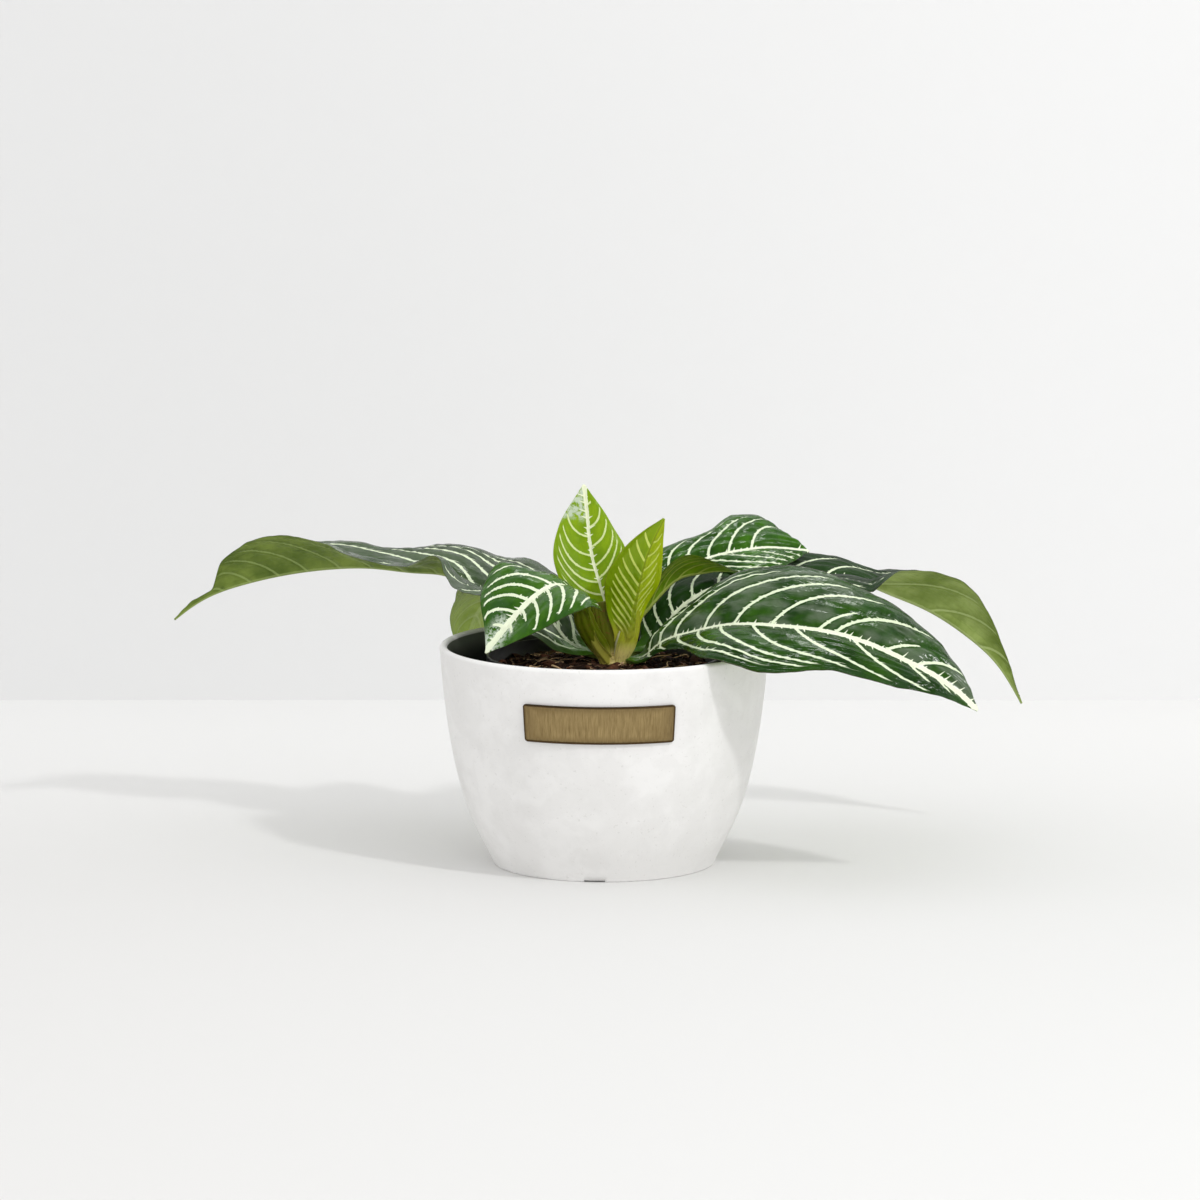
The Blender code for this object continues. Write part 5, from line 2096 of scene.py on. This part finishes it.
FIFTH_LEFT = Leaf(
    "leaf_fifth_left", 135, "leaf", (
        (3.5, 3, 101.5, 2, 2, 10, 10),
        (0, 20, 106, 5, 5, 10, 10),
        (-12, 40, 116, 12, 14, 0, 0),
        (-30, 56, 125, 22, 26, 0, 0),
        (-47, 68, 125, 36, 28, 8, 0),
        (-59, 77, 118, 24, 27, 0, 0),
        (-67, 84, 104, 14, 22, 0, 0),
        (-71, 88, 82, 0.5, 0.5, 0, 0),
    ),
    VeinPlan(
        left=(0.16, 0.24, 0.32, 0.40, 0.48, 0.56, 0.64, 0.72, 0.80, 0.88),
        right=(0.16, 0.24, 0.32, 0.40, 0.48, 0.56, 0.64, 0.72, 0.80, 0.88),
    ),
    replace(
        DARK_TOP, name="fifth_left_top",
        midrib_foot=0.9 * MM, midrib_tip=1.1 * MM, lateral=0.68 * MM, seed=9.0,
    ),
    # Blade and shade lightened: painted light shining through this underside.
    replace(DARK_UNDER, name="fifth_left_under", blade=(0.44, 0.58, 0.13), shade=(0.28, 0.40, 0.06)),
    puff=0.9 * MM, ladder=7.5 * MM, ripple=0.8 * MM, seed=9.0,
)
LEAVES = (
    YOUNG_BACK, YOUNG_FRONT, SECOND_LEFT, SECOND_RIGHT,
    THIRD_FRONT, THIRD_BACK, FOURTH_BACK, FIFTH_RIGHT, FIFTH_LEFT,
)


# ---- Studio ----


@dataclass(frozen=True)
class Lamp:
    """One soft square light that points at a target."""

    name: str
    place: Point
    target: Point
    size: float
    power: float
    colour: Colour = (1.0, 1.0, 1.0)
    in_diffuse: bool = True
    in_gloss: bool = True

    def build(self) -> None:
        """Add the light."""
        data = bpy.data.lights.new(self.name, "AREA")
        data.shape = "SQUARE"
        data.size = self.size
        data.energy = self.power
        data.color = self.colour
        obj = bpy.data.objects.new(self.name, data)
        obj.location = self.place
        aim = Vector(self.target) - Vector(self.place)
        obj.rotation_euler = aim.to_track_quat("-Z", "Y").to_euler()
        obj.visible_diffuse = self.in_diffuse
        obj.visible_glossy = self.in_gloss
        bpy.context.scene.collection.objects.link(obj)


@dataclass(frozen=True)
class StageFinish:
    """Plain matt paper with painted light, brighter towards one side and towards the back, and clear when it
    is seen from behind.
    """

    name: str
    left: Colour
    right: Colour
    far: Optional[Colour] = None
    half_width: float = 0.3
    depth: tuple[float, float] = (-0.10, 0.45)

    def material(self) -> Material:
        """Build the paper's material.

        Returns:
            The material.
        """
        made = bpy.data.materials.new(self.name)
        made.use_nodes = True
        graph = Graph(made.node_tree)
        shader = made.node_tree.nodes["Principled BSDF"]
        shader.inputs["Roughness"].default_value = 0.9
        shader.inputs["Specular IOR Level"].default_value = 0.1
        place = graph.place()
        side, back, _ = graph.parts(place)
        # Painted light: the paper brightens towards one side, and towards the back where a far colour is
        # given.
        tone = graph.ramp(side, -self.half_width, self.half_width)
        paper = graph.mix(tone, self.left, self.right)
        if self.far:
            paper = graph.mix(graph.ramp(back, *self.depth), paper, self.far)
        graph.set(shader.inputs["Base Color"], paper)
        clear = graph.read("ShaderNodeBsdfTransparent")
        behind = graph.read("ShaderNodeNewGeometry", pick="Backfacing")
        output = made.node_tree.nodes["Material Output"]
        both = graph.read("ShaderNodeMixShader", {0: behind, 1: Signal(graph, shader.outputs[0]), 2: clear})
        graph.set(output.inputs["Surface"], both)
        return made


@dataclass
class Studio:
    """The pale table and wall, the lights and the camera."""

    eye: Point = (-0.002, -2.866, 0.5730)
    aim: Point = (-0.002, 0.0, 0.1296)
    lens: float = 178.0
    wall_y: float = 0.465
    reach: float = 3.0
    world: float = 0.905
    world_in_gloss: float = 0.12
    # Painted light on the table and wall papers: brighter to the right, and the table brighter towards the
    # back.
    floor_finish: StageFinish = StageFinish(
        "table_paper", (0.775, 0.77, 0.76), (0.78, 0.78, 0.77), (0.866, 0.864, 0.855)
    )
    wall_finish: StageFinish = StageFinish("wall_paper", (0.80, 0.80, 0.80), (0.85, 0.85, 0.85))
    lamps: tuple[Lamp, ...] = (
        Lamp("key", (1.13, -1.27, 1.54), (0.0, 0.0, 0.1), 0.14, 12.8),
        Lamp("overhead", (-0.2, -0.4, 2.0), (0.0, 0.0, 0.0), 2.4, 5.0, in_gloss=False),
        Lamp("sheen", (0.1, 0.3, 1.9), (0.0, 0.0, 0.1), 0.45, 7.0, in_diffuse=False),
    )

    def sheet(self, name: str, corners: Sequence[Sequence[float]], finish: StageFinish) -> None:
        """Add one flat sheet of the stage.

        Args:
            name: its name.
            corners: its four corners, anticlockwise seen from its bright side.
            finish: its paper.
        """
        mesh = bpy.data.meshes.new(name)
        mesh.from_pydata([tuple(corner) for corner in corners], [], [(0, 1, 2, 3)])
        obj = new_object(name, mesh)
        mesh.materials.append(finish.material())

    def build(self) -> None:
        """Build the stage, the lights, the world and the camera."""
        wide, back = self.reach, self.wall_y
        floor = ((-wide, -wide, 0), (wide, -wide, 0), (wide, back, 0), (-wide, back, 0))
        wall = ((-wide, back, 0), (wide, back, 0), (wide, back, 2 * wide), (-wide, back, 2 * wide))
        self.sheet("table", floor, self.floor_finish)
        self.sheet("wall", wall, self.wall_finish)
        for lamp in self.lamps:
            lamp.build()
        world = bpy.data.worlds.new("studio_air")
        world.use_nodes = True
        air = world.node_tree.nodes["Background"]
        air.inputs["Color"].default_value = (1, 1, 1, 1)
        graph = Graph(world.node_tree)
        glossy = graph.read("ShaderNodeLightPath", pick="Is Glossy Ray")
        graph.set(air.inputs["Strength"], graph.blend(glossy, self.world, self.world_in_gloss))
        bpy.context.scene.world = world
        data = bpy.data.cameras.new("camera")
        data.lens = self.lens
        data.sensor_width = 36.0
        data.clip_end = 50.0
        camera = bpy.data.objects.new("camera", data)
        camera.location = self.eye
        camera.rotation_euler = (Vector(self.aim) - Vector(self.eye)).to_track_quat("-Z", "Y").to_euler()
        bpy.context.scene.collection.objects.link(camera)
        bpy.context.scene.camera = camera
        bpy.context.scene.view_settings.view_transform = "Standard"


def main() -> None:
    """Build the studio, the pots, the mix, the stem and the leaves."""
    logging.basicConfig(level=logging.INFO, format="%(name)s: %(message)s")
    Studio().build()
    outer = OuterPot(STONE)
    plate = Plate(outer, BRASS)
    nursery = NurseryPot(PLASTIC)
    mix = PottingMix(EARTH, BARK, FIBRE)
    stem = Stem(STEM_SKIN)
    for part in (outer, plate, nursery, mix, stem, *PETIOLES, *LEAVES):
        part.dress(part.build())


if __name__ == "__main__":
    main()
